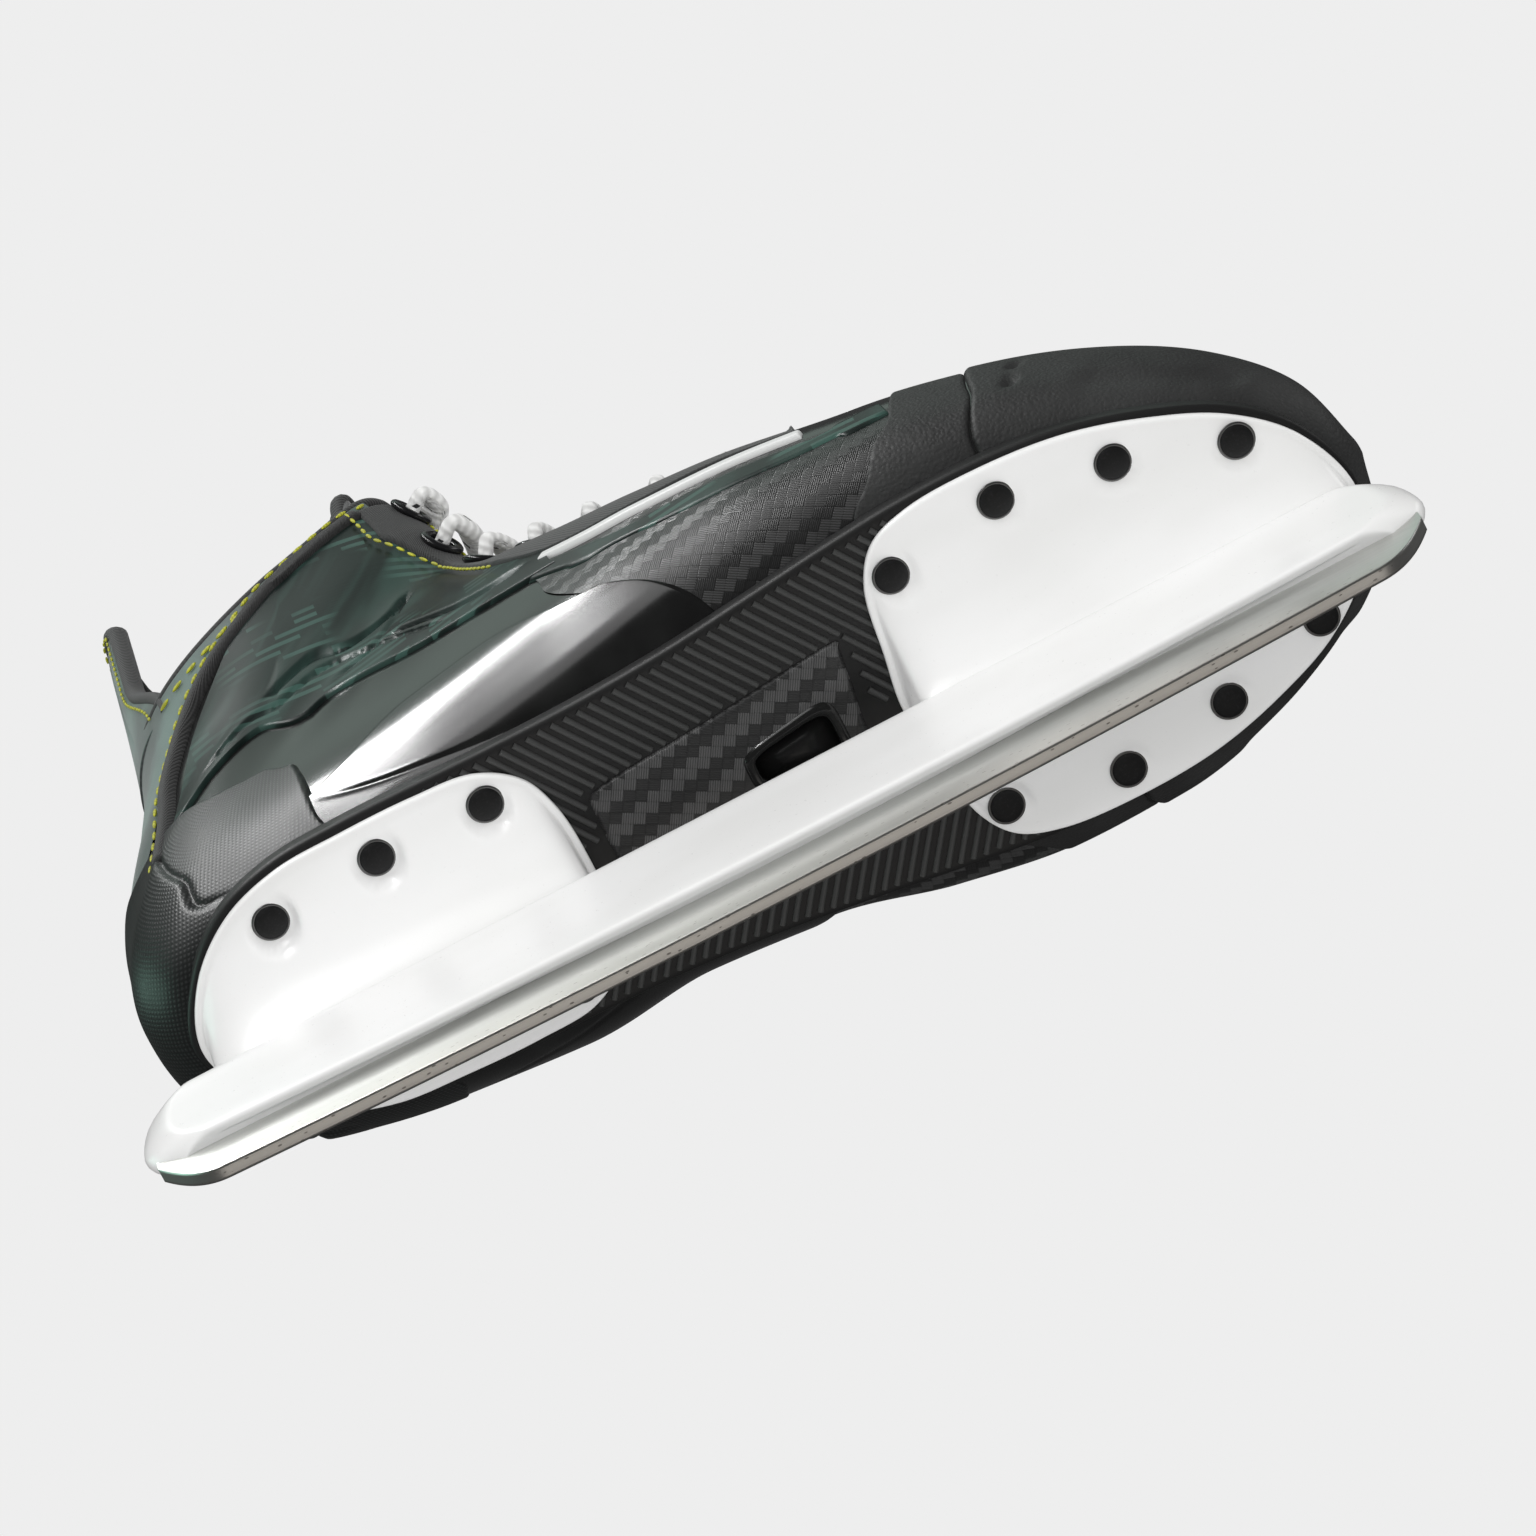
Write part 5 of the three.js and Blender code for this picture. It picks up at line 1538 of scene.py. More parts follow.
# ---- runner
@dataclass
class RunnerUnit:
    """Steel blade, hollow-ground along its foot, and its two flat-sided studs."""

    reach: float = 137.8
    foot: float = 124.8
    thickness: float = 3.0
    top: float = 22.0
    hollow: float = 0.12

    def make(self, looks: Wardrobe) -> None:
        """Build the blade and give the studs and nuts their finish."""
        x = np.concatenate([np.linspace(-self.reach, -self.foot, 30),
                            np.linspace(-self.foot, self.foot, 160)[1:-1],
                            np.linspace(self.foot, self.reach, 30)])
        end = np.clip((np.abs(x) - self.foot) / (self.reach - self.foot), 0, 1)
        low = np.maximum(x * x - 9.6**2, 0) / 3600.0 + (17.0 - self.reach**2 / 3600.0) * end**2.2
        half = self.thickness / 2
        y_low = np.array([-half, -half + 0.05, -half * 0.5, 0, half * 0.5, half - 0.05, half])
        rise = np.array([0.35, 0.0, self.hollow * 0.75, self.hollow, self.hollow * 0.75, 0.0, 0.35])
        high = np.full_like(x, self.top)
        cap = np.clip((np.abs(x) - (self.reach - 3)) / 3, 0, 1)
        high = high - 2.0 * cap**2
        fade = 1 - smooth((np.abs(x) - self.foot) / 8.0)
        loops = []
        for k in range(len(x)):
            ring = [(x[k], y, low[k] + h * (0.4 + 0.6 * fade[k])) for y, h in zip(y_low, rise)]
            ring += [(x[k], half, z) for z in np.linspace(low[k] + 1.0, high[k], 6)]
            ring += [(x[k], y, high[k]) for y in (half * 0.3, -half * 0.3)]
            ring += [(x[k], -half, z) for z in np.linspace(high[k], low[k] + 1.0, 6)]
            loops.append(np.array(ring))
        blade = stack("runner_blade", loops, looks.steel)
        for polygon in blade.data.polygons:
            polygon.use_smooth = abs(polygon.normal.y) < 0.9
        dress(blade, "runner_unit", ["runner"])
        for node in ("stud_front", "stud_rear", "nut_front", "nut_rear"):
            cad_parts[node].material_slots[0].material = looks.fastener


# ---- outsole
@dataclass
class Outsole:
    """Composite plate under the boot, with a ribbed waist, a herringbone panel and a vent."""

    half: tuple[Pair, ...] = ((132.3, 0), (127, 16.2), (116, 26.8), (101, 33.8), (84, 38.4), (66, 40), (50, 39.6),
                              (34, 38), (15, 35.5), (-5, 33), (-25, 31.5), (-45, 31), (-62, 31), (-78, 30.8),
                              (-93, 29.6), (-106, 25), (-117, 15), (-124, 0))
    vent: tuple[float, float, float, float] = (9.7, -1.8, 8.4, 4.1)
    panel_ends: tuple[float, float] = (-31.0, 26.8)
    panel_halves: tuple[float, float] = (12.9, 19.1)
    rib_pitch: float = 2.4

    def make(self, looks: Wardrobe) -> None:
        """Build the plate and what stands on it."""
        outline = plan_outline(self.half, 300)
        loops = []
        section = ((6.0, 0.0), (1.6, 0.02), (0.9, 0.12), (0.35, 0.4), (0.05, 0.8), (0.0, 1.1), (0.3, 4.5))
        for inset, height in section:
            xy = plan_outline(self.half, 300, -inset) if inset else outline
            loops.append(np.stack([xy[:, 0], xy[:, 1], sole_z(xy[:, 0]) + height], axis=1))
        flat = np.concatenate([loop[:, :2] for loop in loops])
        ends = np.array([loops[0][:, :2].mean(0), loops[-1][:, :2].mean(0)])
        plate = stack("outsole_plate", loops, looks.plate, np.vstack([flat, ends]))
        dress(plate, replaces=["outsole"])
        self._panel(looks)
        self._ribs(looks)
        self._vent(looks)

    def _slab(self, name: str, outline: Array, low: float, high: float, bevel: float,
              material: Material) -> Piece:
        """A thin raised plate on the sole's underside with a bevelled edge."""
        centre = outline.mean(0)
        shrink = outline + (centre - outline) * (bevel / np.linalg.norm(outline - centre, axis=1, keepdims=True))
        loops = []
        for xy, drop in ((outline, low), (outline, (low + high) / 2), (shrink, high)):
            loops.append(np.stack([xy[:, 0], xy[:, 1], sole_z(xy[:, 0]) + drop], axis=1))
        flat = np.concatenate([loop[:, :2] for loop in loops])
        ends = np.tile(centre, (2, 1))
        return stack(name, loops, material, np.vstack([flat, ends]))

    def _panel(self, looks: Wardrobe) -> None:
        """The herringbone panel between the towers, split by the vent's end."""
        (heel, front), (slim, wide) = self.panel_ends, self.panel_halves
        half = [(front - 2.6, 0), (front - 1.4, wide * 0.5), (front - 0.4, wide - 1.2), (front, wide - 0.2),
                (front - 1.2, wide), ((heel + front) / 2, (slim + wide) / 2),
                (heel + 1.2, slim), (heel, slim - 0.8),
                (heel - 0.5, slim * 0.5), (heel - 0.6, 0)]
        outline = plan_outline(half, 200)
        panel = self._slab("waist_panel", outline, 0.5, -1.0, 1.5, looks.outsole)
        dress(panel)

    def _rib_runs(self, side: int) -> list[tuple[Array, Array]]:
        """Both ends of every rib on one side of the sole, kept off the panel."""
        lean = math.radians(56.0)
        along, across = (math.cos(lean), math.sin(lean)), (-math.sin(lean), math.cos(lean))
        edge = np.array(self.half)[::-1]
        t = np.arange(-90.0, 90.0, 0.4)
        runs = []
        for offset in np.arange(-70.0, 70.0, self.rib_pitch):
            x = offset * across[0] + t * along[0]
            y = offset * across[1] + t * along[1]
            plan = np.interp(x, edge[:, 0], edge[:, 1])
            wall = np.interp(x, self.panel_ends, self.panel_halves) + 0.6
            beyond = (x < self.panel_ends[0] - 1.4) | (x > self.panel_ends[1] + 1.0)
            inside = (y < -3.0) & (y > 1.6 - plan) & (beyond | (y < -wall)) & (x > -60) & (x < 48)
            cuts = np.flatnonzero(np.diff(np.concatenate([[0], inside.astype(int), [0]])))
            for low, high in zip(cuts[::2], cuts[1::2] - 1):
                if high - low > 4:
                    ends = [np.array([x[k], -side * y[k], float(sole_z(x[k])) + 0.05]) for k in (low, high)]
                    runs.append((ends[0], ends[1]))
        return runs

    def _ribs(self, looks: Wardrobe) -> None:
        """Slanting ribs over the waist, all round the panel."""
        runs = [run for side in (-1, 1) for run in self._rib_runs(side)]
        points = np.array([end for run in runs for end in run]) * MM
        mesh = bpy.data.meshes.new("rib_guide")
        mesh.from_pydata(points.tolist(), [(2 * k, 2 * k + 1) for k in range(len(runs))], [])
        guide = bpy.data.objects.new("rib_guide", mesh)
        bpy.context.scene.collection.objects.link(guide)
        tree = Repeater("sole_rib_tree", Radius=0.66 * MM)
        line = tree.node("GeometryNodeMeshToCurve", {"Mesh": tree.start.outputs[0]})
        profile = tree.node("GeometryNodeCurvePrimitiveCircle", {"Resolution": 12, "Radius": tree.size("Radius")})
        tube = tree.node("GeometryNodeCurveToMesh", {0: line.outputs[0], 1: profile.outputs[0], "Fill Caps": True})
        ribs = tree.run(tube.outputs[0], looks.rib, guide, "sole_ribs")
        dress(ribs)

    def _vent(self, looks: Wardrobe) -> None:
        """A raised tapering frame round a near-black disc that closes the opening: painted shade standing in for
        the dark inside of the vent hole.
        """
        x0, y0, long, wide = self.vent

        def ring(grow: float, height: float) -> Array:
            """The well's outline, grown and raised."""
            t = 2 * np.pi * (np.arange(96) + 0.5) / 96
            c, d = np.cos(t), np.sin(t)
            u = np.sign(c) * np.abs(c) ** 0.42 * (long + grow)
            v = np.sign(d) * np.abs(d) ** 0.42 * (wide + grow) * (1 + 0.30 * u / (long + grow))
            return np.stack([x0 + u, y0 + v, sole_z(x0 + u) + height], axis=1)

        shape = [(2.6, 0.4), (2.3, -1.1), (1.5, -1.75), (0.9, -1.85), (0.4, -1.7), (0.1, -1.2), (0.0, 0.5)]
        frame_piece = stack("vent_surround", [ring(g, h) for g, h in shape], looks.gloss, close=False)
        dress(frame_piece, replaces=["vent_frame"])
        # Near-black disc across the opening: painted shade standing in for the dark inside of the vent hole.
        well = stack("vent_shade_well", [ring(0.3, -1.12), ring(-1.5, -1.10), ring(-3.0, -1.08)], looks.vent)
        dress(well)


# ---- boot
@dataclass
class BootSkin:
    """The moulded shell and the bands and panels that cover its sides."""

    outer: float = -1.0
    inner: float = -3.8
    start: float = 0.27
    throat_start: float = 0.40

    def _edge(self, s: Array) -> Array:
        """Angle of the throat's edge from the bottom line."""
        half = 24.0 * (0.45 + 0.55 * np.sqrt(np.clip((s - self.throat_start) / 0.05, 0, 1)))
        return np.where(s < self.throat_start, 180.0, 180.0 - half)

    def make(self, looks: Wardrobe) -> None:
        """Build the shell, then each side's panels."""
        shell = self._shell(looks.gloss)
        dress(shell, replaces=["boot_shell"])
        for side in Side:
            self._panels(side, looks)

    def _shell(self, material: Material) -> Piece:
        """The shell as an outer and an inner skin joined along every edge."""
        at_heel = [0.178, 0.18, 0.184, 0.19, 0.2, 0.215, 0.23, 0.245]
        u = np.unique(np.concatenate([np.linspace(0, 1, 150), at_heel]))
        columns = 181
        w = np.linspace(-1, 1, columns)
        base = self.start + (1 - self.start) * u
        a = self._edge(base)[:, None] * w[None]
        s = self.start + (FORM.rim(a) - self.start) * u[:, None]
        outer, inner = (FORM.skin(s, a, d) for d in (self.outer, self.inner))
        return two_skins("boot_shell_skin", outer, inner, FORM.lay(s, a), material)

    def _panels(self, side: Side, looks: Wardrobe) -> None:
        """The twill flank, gloss band, quarter and white strip of one side."""
        tag = side.label
        twill = Patch(f"flank_twill_{tag}",
                      on_side(((.405, 18), (.415, 30), (.412, 42), (.396, 56), (.380, 75), (.356, 92)), side),
                      on_side(((.536, 18), (.540, 30), (.545, 42), (.560, 55), (.588, 73), (.628, 94)), side),
                      rows=90, columns=120, height=-0.72, spread=(False,) * 4).make(looks.twill)
        dress(twill)
        relief = relief_of([
            Groove(on_side(((.745, 57), (.70, 46), (.651, 38), (.619, 36), (.578, 31), (.54, 27)), side),
                   -0.35, 0.6),
        ])
        band = Patch(f"side_band_{tag}",
                     on_side(((.520, 17), (.58, 18), (.64, 20), (.70, 22), (.742, 24)), side),
                     on_side(SEAMS.band_top, side),
                      middle=on_side(((.540, 50), (.59, 53), (.645, 57), (.70, 55), (.744, 50)), side),
                     rows=70, columns=150, height=0.15, roll=1.6, spread=(False, True, True, False),
                     relief=relief).make(looks.gloss)
        dress(band)
        folds = relief_of([
            Groove(on_side(((.846, 86), (.833, 91), (.806, 96), (.787, 106), (.798, 116)), side),
                   -0.9, 1.1, 0.5, 9.0),
            Groove(on_side(((.79, 115), (.772, 97), (.793, 91)), side), -1.1, 1.3),
            Groove(on_side(((.767, 98), (.72, 99), (.666, 99), (.63, 101)), side), -0.9, 0.9, 0.35, 7.0),
            Groove(on_side(((.85, 66), (.84, 82), (.80, 94), (.74, 97), (.69, 96)), side), -0.4, 0.7, 0.4, 5.0),
        ])
        quarter = Patch(f"quarter_{tag}", on_side(SEAMS.quarter_foot, side),
                        on_side(((.616, 101), (.663, 112), (.717, 127),
                                 (.785, 137), (.86, 128), (.950, 118)), side),
                        middle=on_side(((.615, 97), (.67, 103), (.735, 109),
                                        (.80, 112), (.88, 100), (.938, 80)), side),
                        rows=140, columns=190, height=0.0, roll=1.0, spread=(True, False, False, False),
                        relief=folds).make(looks.quarter)
        dress(quarter)
        edge = ribbon(f"quarter_edge_{tag}", on_side(SEAMS.strip_foot, side), 3.4, -0.25, looks.quarter)
        dress(edge)
        strip = ribbon(f"side_strip_{tag}", on_side(SEAMS.strip, side), 1.55, 0.35, looks.strip)
        dress(strip)


@dataclass
class ToeAndWraps:
    """Hard toe cap, the grained wraps behind it and the knitted heel."""

    height: float = 0.45

    def make(self, looks: Wardrobe) -> None:
        """Build the toe cap, both wraps and the heel."""
        self._cap(looks)
        for side in Side:
            wrap = Patch(f"forefoot_grain_{side.label}",
                         on_side([(s + 0.001, a) for s, a in SEAMS.cap_back[1:]], side),
                         on_side(SEAMS.wrap_back, side), rows=50, columns=150, height=-0.40, roll=1.1,
                         spread=(True, True, False, True)).make(looks.grain)
            dress(wrap, replaces=[f"forefoot_wrap_{side.label}"])
        self._heel(looks)

    def _cap(self, looks: Wardrobe) -> None:
        """The toe cap, closed at the nose, with a long recess and two small ovals on each side."""
        a = np.linspace(-180, 180, 241)[:-1]
        seam = np.interp(np.abs(a), [p[1] for p in SEAMS.cap_back], [p[0] for p in SEAMS.cap_back])
        u = np.unique(np.concatenate([np.linspace(0, 1, 110) ** 1.15, 1 - np.array([0.002, 0.005, 0.009, 0.014])]))
        s = 0.0 + (seam[None] - 0.0) * u[:, None]
        s = np.maximum(s, 0.0008)
        aa = np.broadcast_to(a[None], s.shape)
        lay = FORM.lay(s, aa)
        dents = []
        for side in Side:
            dents += [Groove(on_side(((.245, 80), (.20, 76.5), (.15, 74), (.100, 74)), side), -1.25, 4.0),
                      Groove(on_side(((.266, 95.5), (.270, 95.9), (.276, 96.5)), side), -1.2, 1.9),
                      Groove(on_side(((.277, 86.4), (.282, 87), (.288, 87.6)), side), -1.2, 1.9)]
        back = (seam[None] - s) * 300.0
        rise = np.sqrt(np.clip(1 - (1 - np.clip(back / 1.6, 0, 1)) ** 2, 0, 1))
        lift = -1.0 + (self.height + 1.0) * rise + relief_of(dents)(s, aa, lay)
        points = FORM.skin(s, aa, lift).reshape(-1, 3)
        points = np.vstack([points, points[:240].mean(0)])
        faces = grid_faces(len(u), 240, closed=True)
        tip = len(points) - 1
        faces += [(tip, (j + 1) % 240, j) for j in range(240)]
        cap = build_mesh("toe_cap_moulding", points, faces, looks.grain, np.vstack([lay.reshape(-1, 2), [[0, 0]]]))
        cap_mesh = cap.data
        middle = cap_mesh.polygons[60 * 240 + 60]
        if middle.normal.dot(Vector(FORM.normal(s[60, 60], a[60]))) < 0:
            cap_mesh.flip_normals()
        dress(cap, replaces=["toe_cap"])

    def _heel(self, looks: Wardrobe) -> None:
        """The heel cup round the back of the boot."""
        mirror = lambda line: [(s, -a) for s, a in reversed(line[1:])] + list(line)
        relief = relief_of([groove for side in Side for groove in (
            Groove(on_side(((.772, 37), (.786, 38), (.809, 50), (.834, 51), (.85, 50)), side),
                   -0.7, 1.0, 0.5, 8.0),)])
        heel = Patch("heel_cup", mirror(SEAMS.heel_front), mirror(SEAMS.heel_top),
                     rows=100, columns=260, height=0.6, roll=1.4, relief=relief).make(looks.heel)
        dress(heel, replaces=["heel_wrap"])


# ---- collar, guard, tongue
@dataclass
class Collar:
    """Soft grey-green collar round the ankle, its dark seam band, piping and tendon guard."""

    def make(self, looks: Wardrobe) -> None:
        """Build the collar, the band and the guard."""
        low = [(.949, 122), (.947, 104), (.944, 90), (.936, 79), (.929, 67), (.912, 57), (.886, 51), (.872, 40),
               (.876, 20), (.877, 0)]
        near = low + [(s, -a) for s, a in reversed(low[:-1])]
        angles = np.interp(np.linspace(0, 18, 61), np.arange(19), [a for _, a in near])
        far = [(float(FORM.rim(a)), float(a)) for a in angles]
        panel = Patch("collar_panel", near, far, rows=60, columns=240, height=-0.1, roll=1.2,
                      spread=(False, True, False, False)).make(looks.collar)
        dress(panel)
        for side in Side:
            band = ribbon(f"seam_band_{side.label}", on_side(SEAMS.band_seam, side),
                          2.1, 1.35, looks.piping, roll=1.7)
            dress(band)
            rows = [beside(on_side(SEAMS.band_seam, side), 3.1 * -side.value),
                    [(float(FORM.rim(a)) - 0.016, a * side.value) for a in range(46, 122, 5)]]
            stitches = Stitching(3.1, 0.5).sew(f"seam_stitches_{side.label}", rows, 0.45, 4.6, looks.yellow)
            dress(stitches)
        self._rim(looks)
        self._guard(looks)

    def _rim(self, looks: Wardrobe) -> None:
        """Corded edge round the top of the boot."""
        a = np.linspace(-154, 154, 220)
        s = FORM.rim(a) + 0.001
        path = FORM.skin(s, a, -1.6)
        up = FORM.normal(s, a)
        rim = sweep("collar_piping", path, np.full(len(a), 3.4), np.full(len(a), 3.6), looks.piping, up, 14)
        dress(rim)

    def _guard(self, looks: Wardrobe) -> None:
        """The tendon guard, a padded blade that rises from the back of the collar."""
        rows, columns = 90, 60
        u, w = np.linspace(0, 1, rows), np.linspace(-1, 1, columns)
        half = 24 + 19 * (1 - smooth(u / 0.55)) + 4 * (1 - u)
        a = half[:, None] * w[None]
        tip = 1.168 - 0.03 * np.abs(w[None] * 1.0) ** 3
        s = (FORM.rim(a) - 0.014) * (1 - u[:, None]) + tip * u[:, None]
        puff = np.sqrt(np.clip(1 - np.abs(w[None]) ** 6, 0, 1)) * np.sqrt(np.clip(1 - u[:, None] ** 14, 0, 1))
        rib = -0.5 * np.exp(-(((np.abs(a) - half[:, None] * 0.55) / 1.2) ** 2)) * smooth(u[:, None] * 6 - 0.5)
        outer = FORM.skin(s, a, -2.0 + 2.4 * puff + rib)
        inner = FORM.skin(s, a, -2.0 - 2.6 * puff)
        guard = two_skins("tendon_guard_pad", outer, inner, FORM.lay(s, a), looks.collar)
        guard.data.materials.append(looks.liner)
        for polygon in guard.data.polygons[(rows - 1) * (columns - 1):]:
            polygon.material_index = 1
        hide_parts("tendon_guard")
        self._cross(guard)
        edge = np.array(border(rows, columns)[columns - 1:] + [0])
        mid = (outer.reshape(-1, 3)[edge] + inner.reshape(-1, 3)[edge]) / 2
        normal = FORM.normal(s, a).reshape(-1, 3)[edge]
        piping = sweep("guard_piping", mid, np.full(len(mid), 3.2), np.full(len(mid), 4.4),
                       looks.piping, normal, 14)
        self._cross(piping)
        ia = np.linspace(4, rows - 3, 60)
        left = [(float(s[int(i), 4]), float(a[int(i), 4])) for i in ia]
        top = [(float(s[rows - 4, j]), float(a[rows - 4, j])) for j in range(6, columns - 6, 4)]
        right = [(s_, -a_) for s_, a_ in reversed(left)]
        stitches = Stitching(2.1, 0.38).sew("guard_stitches", [left, top, right], 0.35, 3.3, looks.yellow)
        self._cross(stitches)

    @staticmethod
    def _cross(piece: Piece) -> None:
        """Bake a piece's placement into its mesh."""
        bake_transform(piece)


@dataclass
class Tongue:
    """Padded felt tongue under the laces, whose top leans in."""

    low: float = -13.6
    high: float = -8.6

    def make(self, looks: Wardrobe) -> None:
        """Build the tongue in one piece, its top leaning in."""
        rows, columns = 200, 70
        u, w = np.linspace(0, 1, rows), np.linspace(-1, 1, columns)
        s0, s1 = 0.352, 1.165
        base = s0 + (s1 - s0) * u
        half = 52 * np.sqrt(1 - 0.45 * np.clip((base - 1.035) / 0.165, 0, 1) ** 3)
        a = 180 + half[:, None] * w[None]
        s = s0 + (s1 - 0.03 * np.abs((a - 180) / 40) ** 3 * smooth((u[:, None] - 0.8) / 0.2) - s0) * u[:, None]
        across = np.clip(1 - np.abs(w[None]) ** 8, 0, 1) ** 0.5
        puff = across * np.clip(1 - (2 * u[:, None] - 1) ** 30, 0, 1) ** 0.5
        middle = (self.low + self.high) / 2
        thick = (self.high - self.low) / 2
        quilt = 0.35 * np.cos(np.radians(a - 180) * 16) * smooth((base[:, None] - 0.95) * 20)
        turned = np.where(a > 180, a - 360, a)
        lean = -9.0 * smooth((base[:, None] - 1.0) / 0.17)
        outer = FORM.skin(s, turned, middle + lean + (thick + 0.3) * puff + quilt * puff)
        inner = FORM.skin(s, turned, middle + lean - (thick + 0.2) * puff)
        grid = np.stack(np.broadcast_arrays(base[:, None] * 300, w[None] * 45), axis=-1)
        pad = two_skins("tongue_pad", outer, inner, grid, looks.tongue)
        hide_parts("tongue_lower", "tongue_upper")
        self._cross(pad)
        edge = np.array([i * columns for i in range(rows // 2, rows)]
                        + [(rows - 1) * columns + j for j in range(1, columns)]
                        + [i * columns + columns - 1 for i in range(rows - 2, rows // 2, -1)])
        mid = (outer.reshape(-1, 3)[edge] + inner.reshape(-1, 3)[edge]) / 2
        normal = FORM.normal(s, turned).reshape(-1, 3)[edge]
        piping = sweep("tongue_piping", mid, np.full(len(mid), 3.6), np.full(len(mid), 4.6),
                       looks.piping, normal, 12)
        self._cross(piping)

    @staticmethod
    def _cross(piece: Piece) -> None:
        """Bake a piece's placement into its mesh."""
        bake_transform(piece)


@dataclass
class Lining:
    """Quilted liner with a fat rolled edge, and the foam footbed."""

    def make(self, looks: Wardrobe) -> None:
        """Build the liner and the footbed."""
        rows, columns = 120, 150
        u, a = np.linspace(0, 1, rows), np.linspace(-128, 128, columns)
        s = 0.12 + (FORM.rim(a)[None] + 0.002 - 0.12) * u[:, None]
        aa = np.broadcast_to(a[None], s.shape)
        roll = np.exp(-(((FORM.rim(a)[None] - s) * 300 - 7) / 7) ** 2)
        close = np.sqrt(np.clip(1 - np.clip((u[:, None] - 0.985) / 0.015, 0, 1) ** 2, 0, 1))
        outer = FORM.skin(s, aa, -4.6 + 0 * s)
        inner = FORM.skin(s, aa, -4.6 - (3.9 + 2.2 * roll + 0.2 * np.cos(aa / 5.0)) * close)
        self._pad("liner_pad", outer, inner, FORM.lay(s, aa), looks.liner, "liner_fabric", "liner", 0.6)
        rows, columns = 90, 40
        u, w = np.linspace(0, 1, rows), np.linspace(-1, 1, columns)
        s = np.broadcast_to((0.10 + 0.685 * u)[:, None], (rows, columns))
        aa = np.broadcast_to(30.0 * w[None], (rows, columns))
        across = np.clip(1 - np.abs(w[None]) ** 8, 0, 1) ** 0.5
        soft = across * np.clip(1 - (2 * u[:, None] - 1) ** 20, 0, 1) ** 0.5
        outer = FORM.skin(s, aa, -9.0 + 0 * s)
        inner = FORM.skin(s, aa, -9.0 - 3.6 * soft)
        self._pad("footbed_pad", outer, inner, FORM.lay(s, aa), looks.footbed, "footbed_foam", "footbed", 0.9)

    @staticmethod
    def _pad(name: str, outer: Array, inner: Array, lay: Array, material: Material, slot: str,
             node: str, fill: float) -> None:
        """Join two skins into one soft piece."""
        piece = two_skins(name, outer, inner, lay, material)
        dress(piece, replaces=[node])


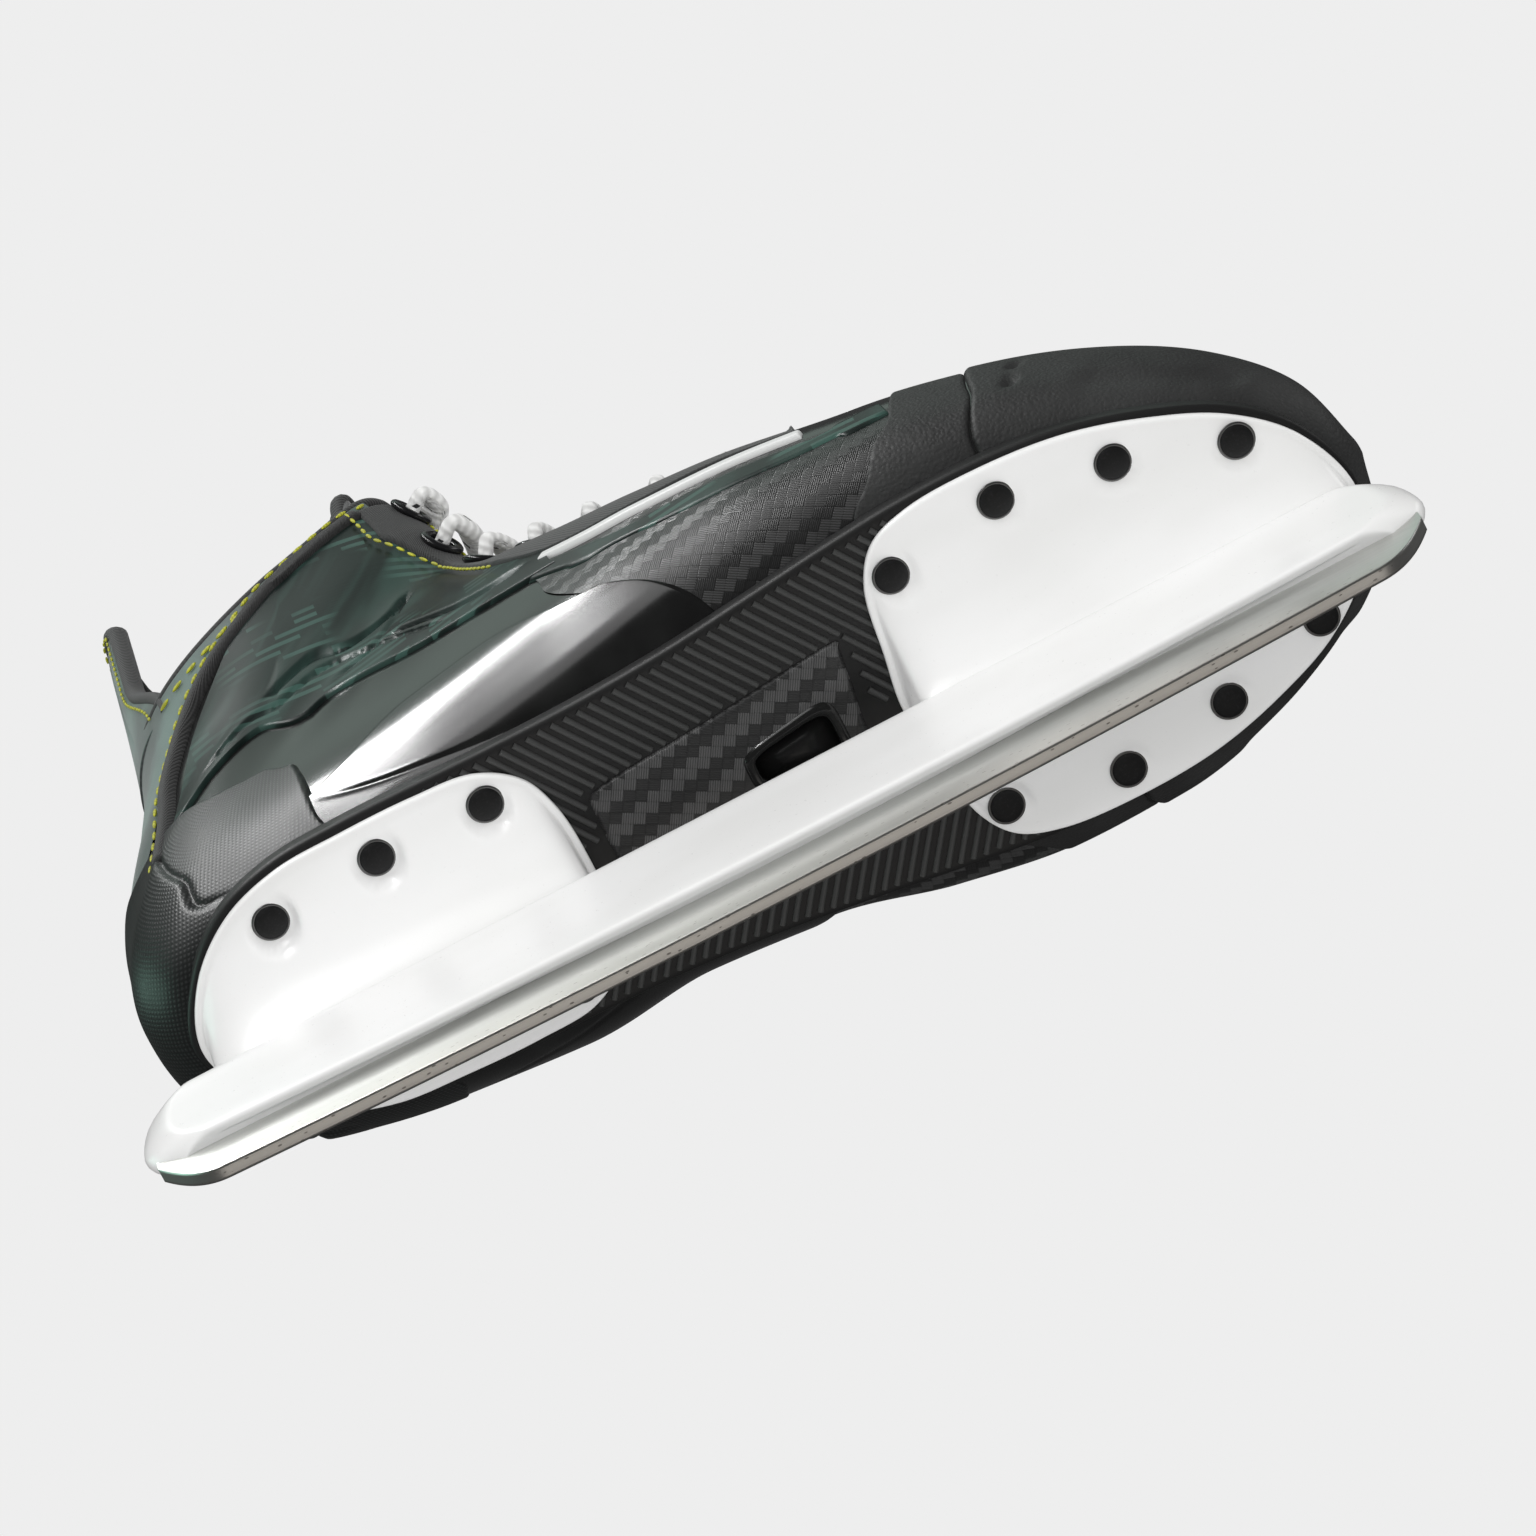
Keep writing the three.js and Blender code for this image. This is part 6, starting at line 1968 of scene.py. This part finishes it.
# ---- lacing
@dataclass
class Lacing:
    """Eyestays, glossy eyelets and the lace that crosses between them."""

    stations: tuple[float, ...] = (0.435, 0.49, 0.545, 0.6, 0.66, 0.74, 0.84, 0.93)
    angle: float = 143.0
    throat: float = 156.0
    lace_width: float = 7.4
    lace_thick: float = 4.0

    def make(self, looks: Wardrobe) -> None:
        """Build both eyestays, the eyelets and the lace."""
        for side in Side:
            inner = [(s, 155.2) for s in np.linspace(0.431, 0.955, 12)]
            stay = Patch(f"eyestay_{side.label}_facing", on_side(SEAMS.stay_out, side), on_side(inner, side),
                         rows=80, columns=190, height=1.0, foot=-2.6, roll=1.1,
                         relief=lambda s, a, lay: self._sunk(s)).make(looks.stay)
            dress(stay, replaces=[f"eyestay_{side.label}"])
            out = beside(on_side(SEAMS.stay_out[4:], side), 2.2 * -side.value)
            throat = [(s, 152.8) for s in np.linspace(0.65, 0.95, 12)]
            stitches = Stitching(2.4, 0.42).sew(f"eyestay_stitches_{side.label}", [out, on_side(throat, side)],
                                                1.15, 3.2, looks.yellow)
            dress(stitches)
        self._eyelets(looks)
        self._lace(looks)

    @staticmethod
    def _sunk(s: Array) -> Array:
        """How far the facing thins towards the toe."""
        return -1.7 * (1 - smooth((s - 0.54) / 0.14))

    def _eyelets(self, looks: Wardrobe) -> None:
        """Turned eyelet rings on both eyestays."""
        for side in Side:
            s = np.array(self.stations)
            a = np.full(len(s), self.angle * side.value)
            points = FORM.skin(s, a, 1.45 + self._sunk(s))
            ups = FORM.normal(s, a)
            runs = FORM.point(s + 0.004, a) - FORM.point(s - 0.004, a)
            rings = ring_row(f"eyelet_rings_{side.label}", points, ups, runs, 3.75, 1.15, 0.75, looks.eyelet)
            dress(rings, replaces=[f"eyelet_{side.label}_{k}" for k in range(1, 9)])

    def _strand(self, side: int) -> list[tuple[float, float, float]]:
        """One side's run of the lace as (station, angle, height)."""
        under, over = -5.95, 5.8
        here = side
        knots = []
        for row, s in enumerate(self.stations):
            last = row == len(self.stations) - 1
            knots += [(s - 0.001, here * (self.angle + 0.5), under), (s, here * self.angle, -3.0),
                      (s, here * self.angle, 2.3), (s + 0.002, here * (self.angle + 1), over),
                      (s + 0.008, here * (self.throat - 3), over)]
            if last:
                knots += [(s + 0.014, here * (self.throat + 4), 1.5), (s + 0.02, here * (self.throat + 9), -2.5),
                          (s + 0.022, here * (self.throat + 13), -6.0)]
                break
            ahead = self.stations[row + 1] - s
            lift = (1 if (here > 0) == (row % 2 == 0) else -1) * side * 1.45
            knots += [(s + ahead * 0.25, here * (self.throat + 6), over - 1),
                      (s + ahead * 0.5, here * 180, 0.6 + lift),
                      (s + ahead * 0.76, -here * (self.throat + 7), under + 1.2),
                      (s + ahead - 0.009, -here * (self.throat - 1), under)]
            here = -here
        return knots

    def _lace(self, looks: Wardrobe) -> None:
        """The whole lace, flat between eyelets and bunched where it passes through them."""
        base = self.stations[0] - 0.006
        bottom = [(base, -160, -5.95), (base, -180, -5.95), (base, 160, -5.95)]
        knots = np.array(list(reversed(self._strand(-1))) + bottom + self._strand(1))
        s, a, d = knots.T
        a = (a + 180) % 360 - 180
        at = FORM.skin(s, a, d)
        up = FORM.normal(s, a)
        squeeze = np.where(np.abs(np.abs(a) - self.angle) < 1.5, 0.0, 1.0)
        gaps = np.linalg.norm(np.diff(at, axis=0), axis=1)
        t = np.concatenate([[0], np.cumsum(gaps**0.5)])
        dense = np.linspace(0, t[-1], 1500)
        path = hermite(t, at, np.gradient(at, t, axis=0), dense)
        ups = np.stack([np.interp(dense, t, up[:, k]) for k in range(3)], axis=1)
        flat = np.interp(dense, t, squeeze)
        widths = 3.2 + (self.lace_width - 3.2) * smooth(flat)
        heights = 2.7 + (self.lace_thick - 2.7) * smooth(flat)
        lace = sweep("lace_braid", path, widths, heights, looks.lace, ups, 14, 1.25)
        dress(lace, replaces=["lace"])


def main() -> None:
    """Build the studio, then the skate from the blade up."""
    logging.basicConfig(level=logging.INFO, format="%(name)s %(message)s")
    Studio().make()
    looks = Wardrobe()
    BladeHolder().make(looks)
    RunnerUnit().make(looks)
    Outsole().make(looks)
    BootSkin().make(looks)
    ToeAndWraps().make(looks)
    Lining().make(looks)
    Tongue().make(looks)
    Lacing().make(looks)
    Collar().make(looks)


if __name__ == "__main__":
    main()
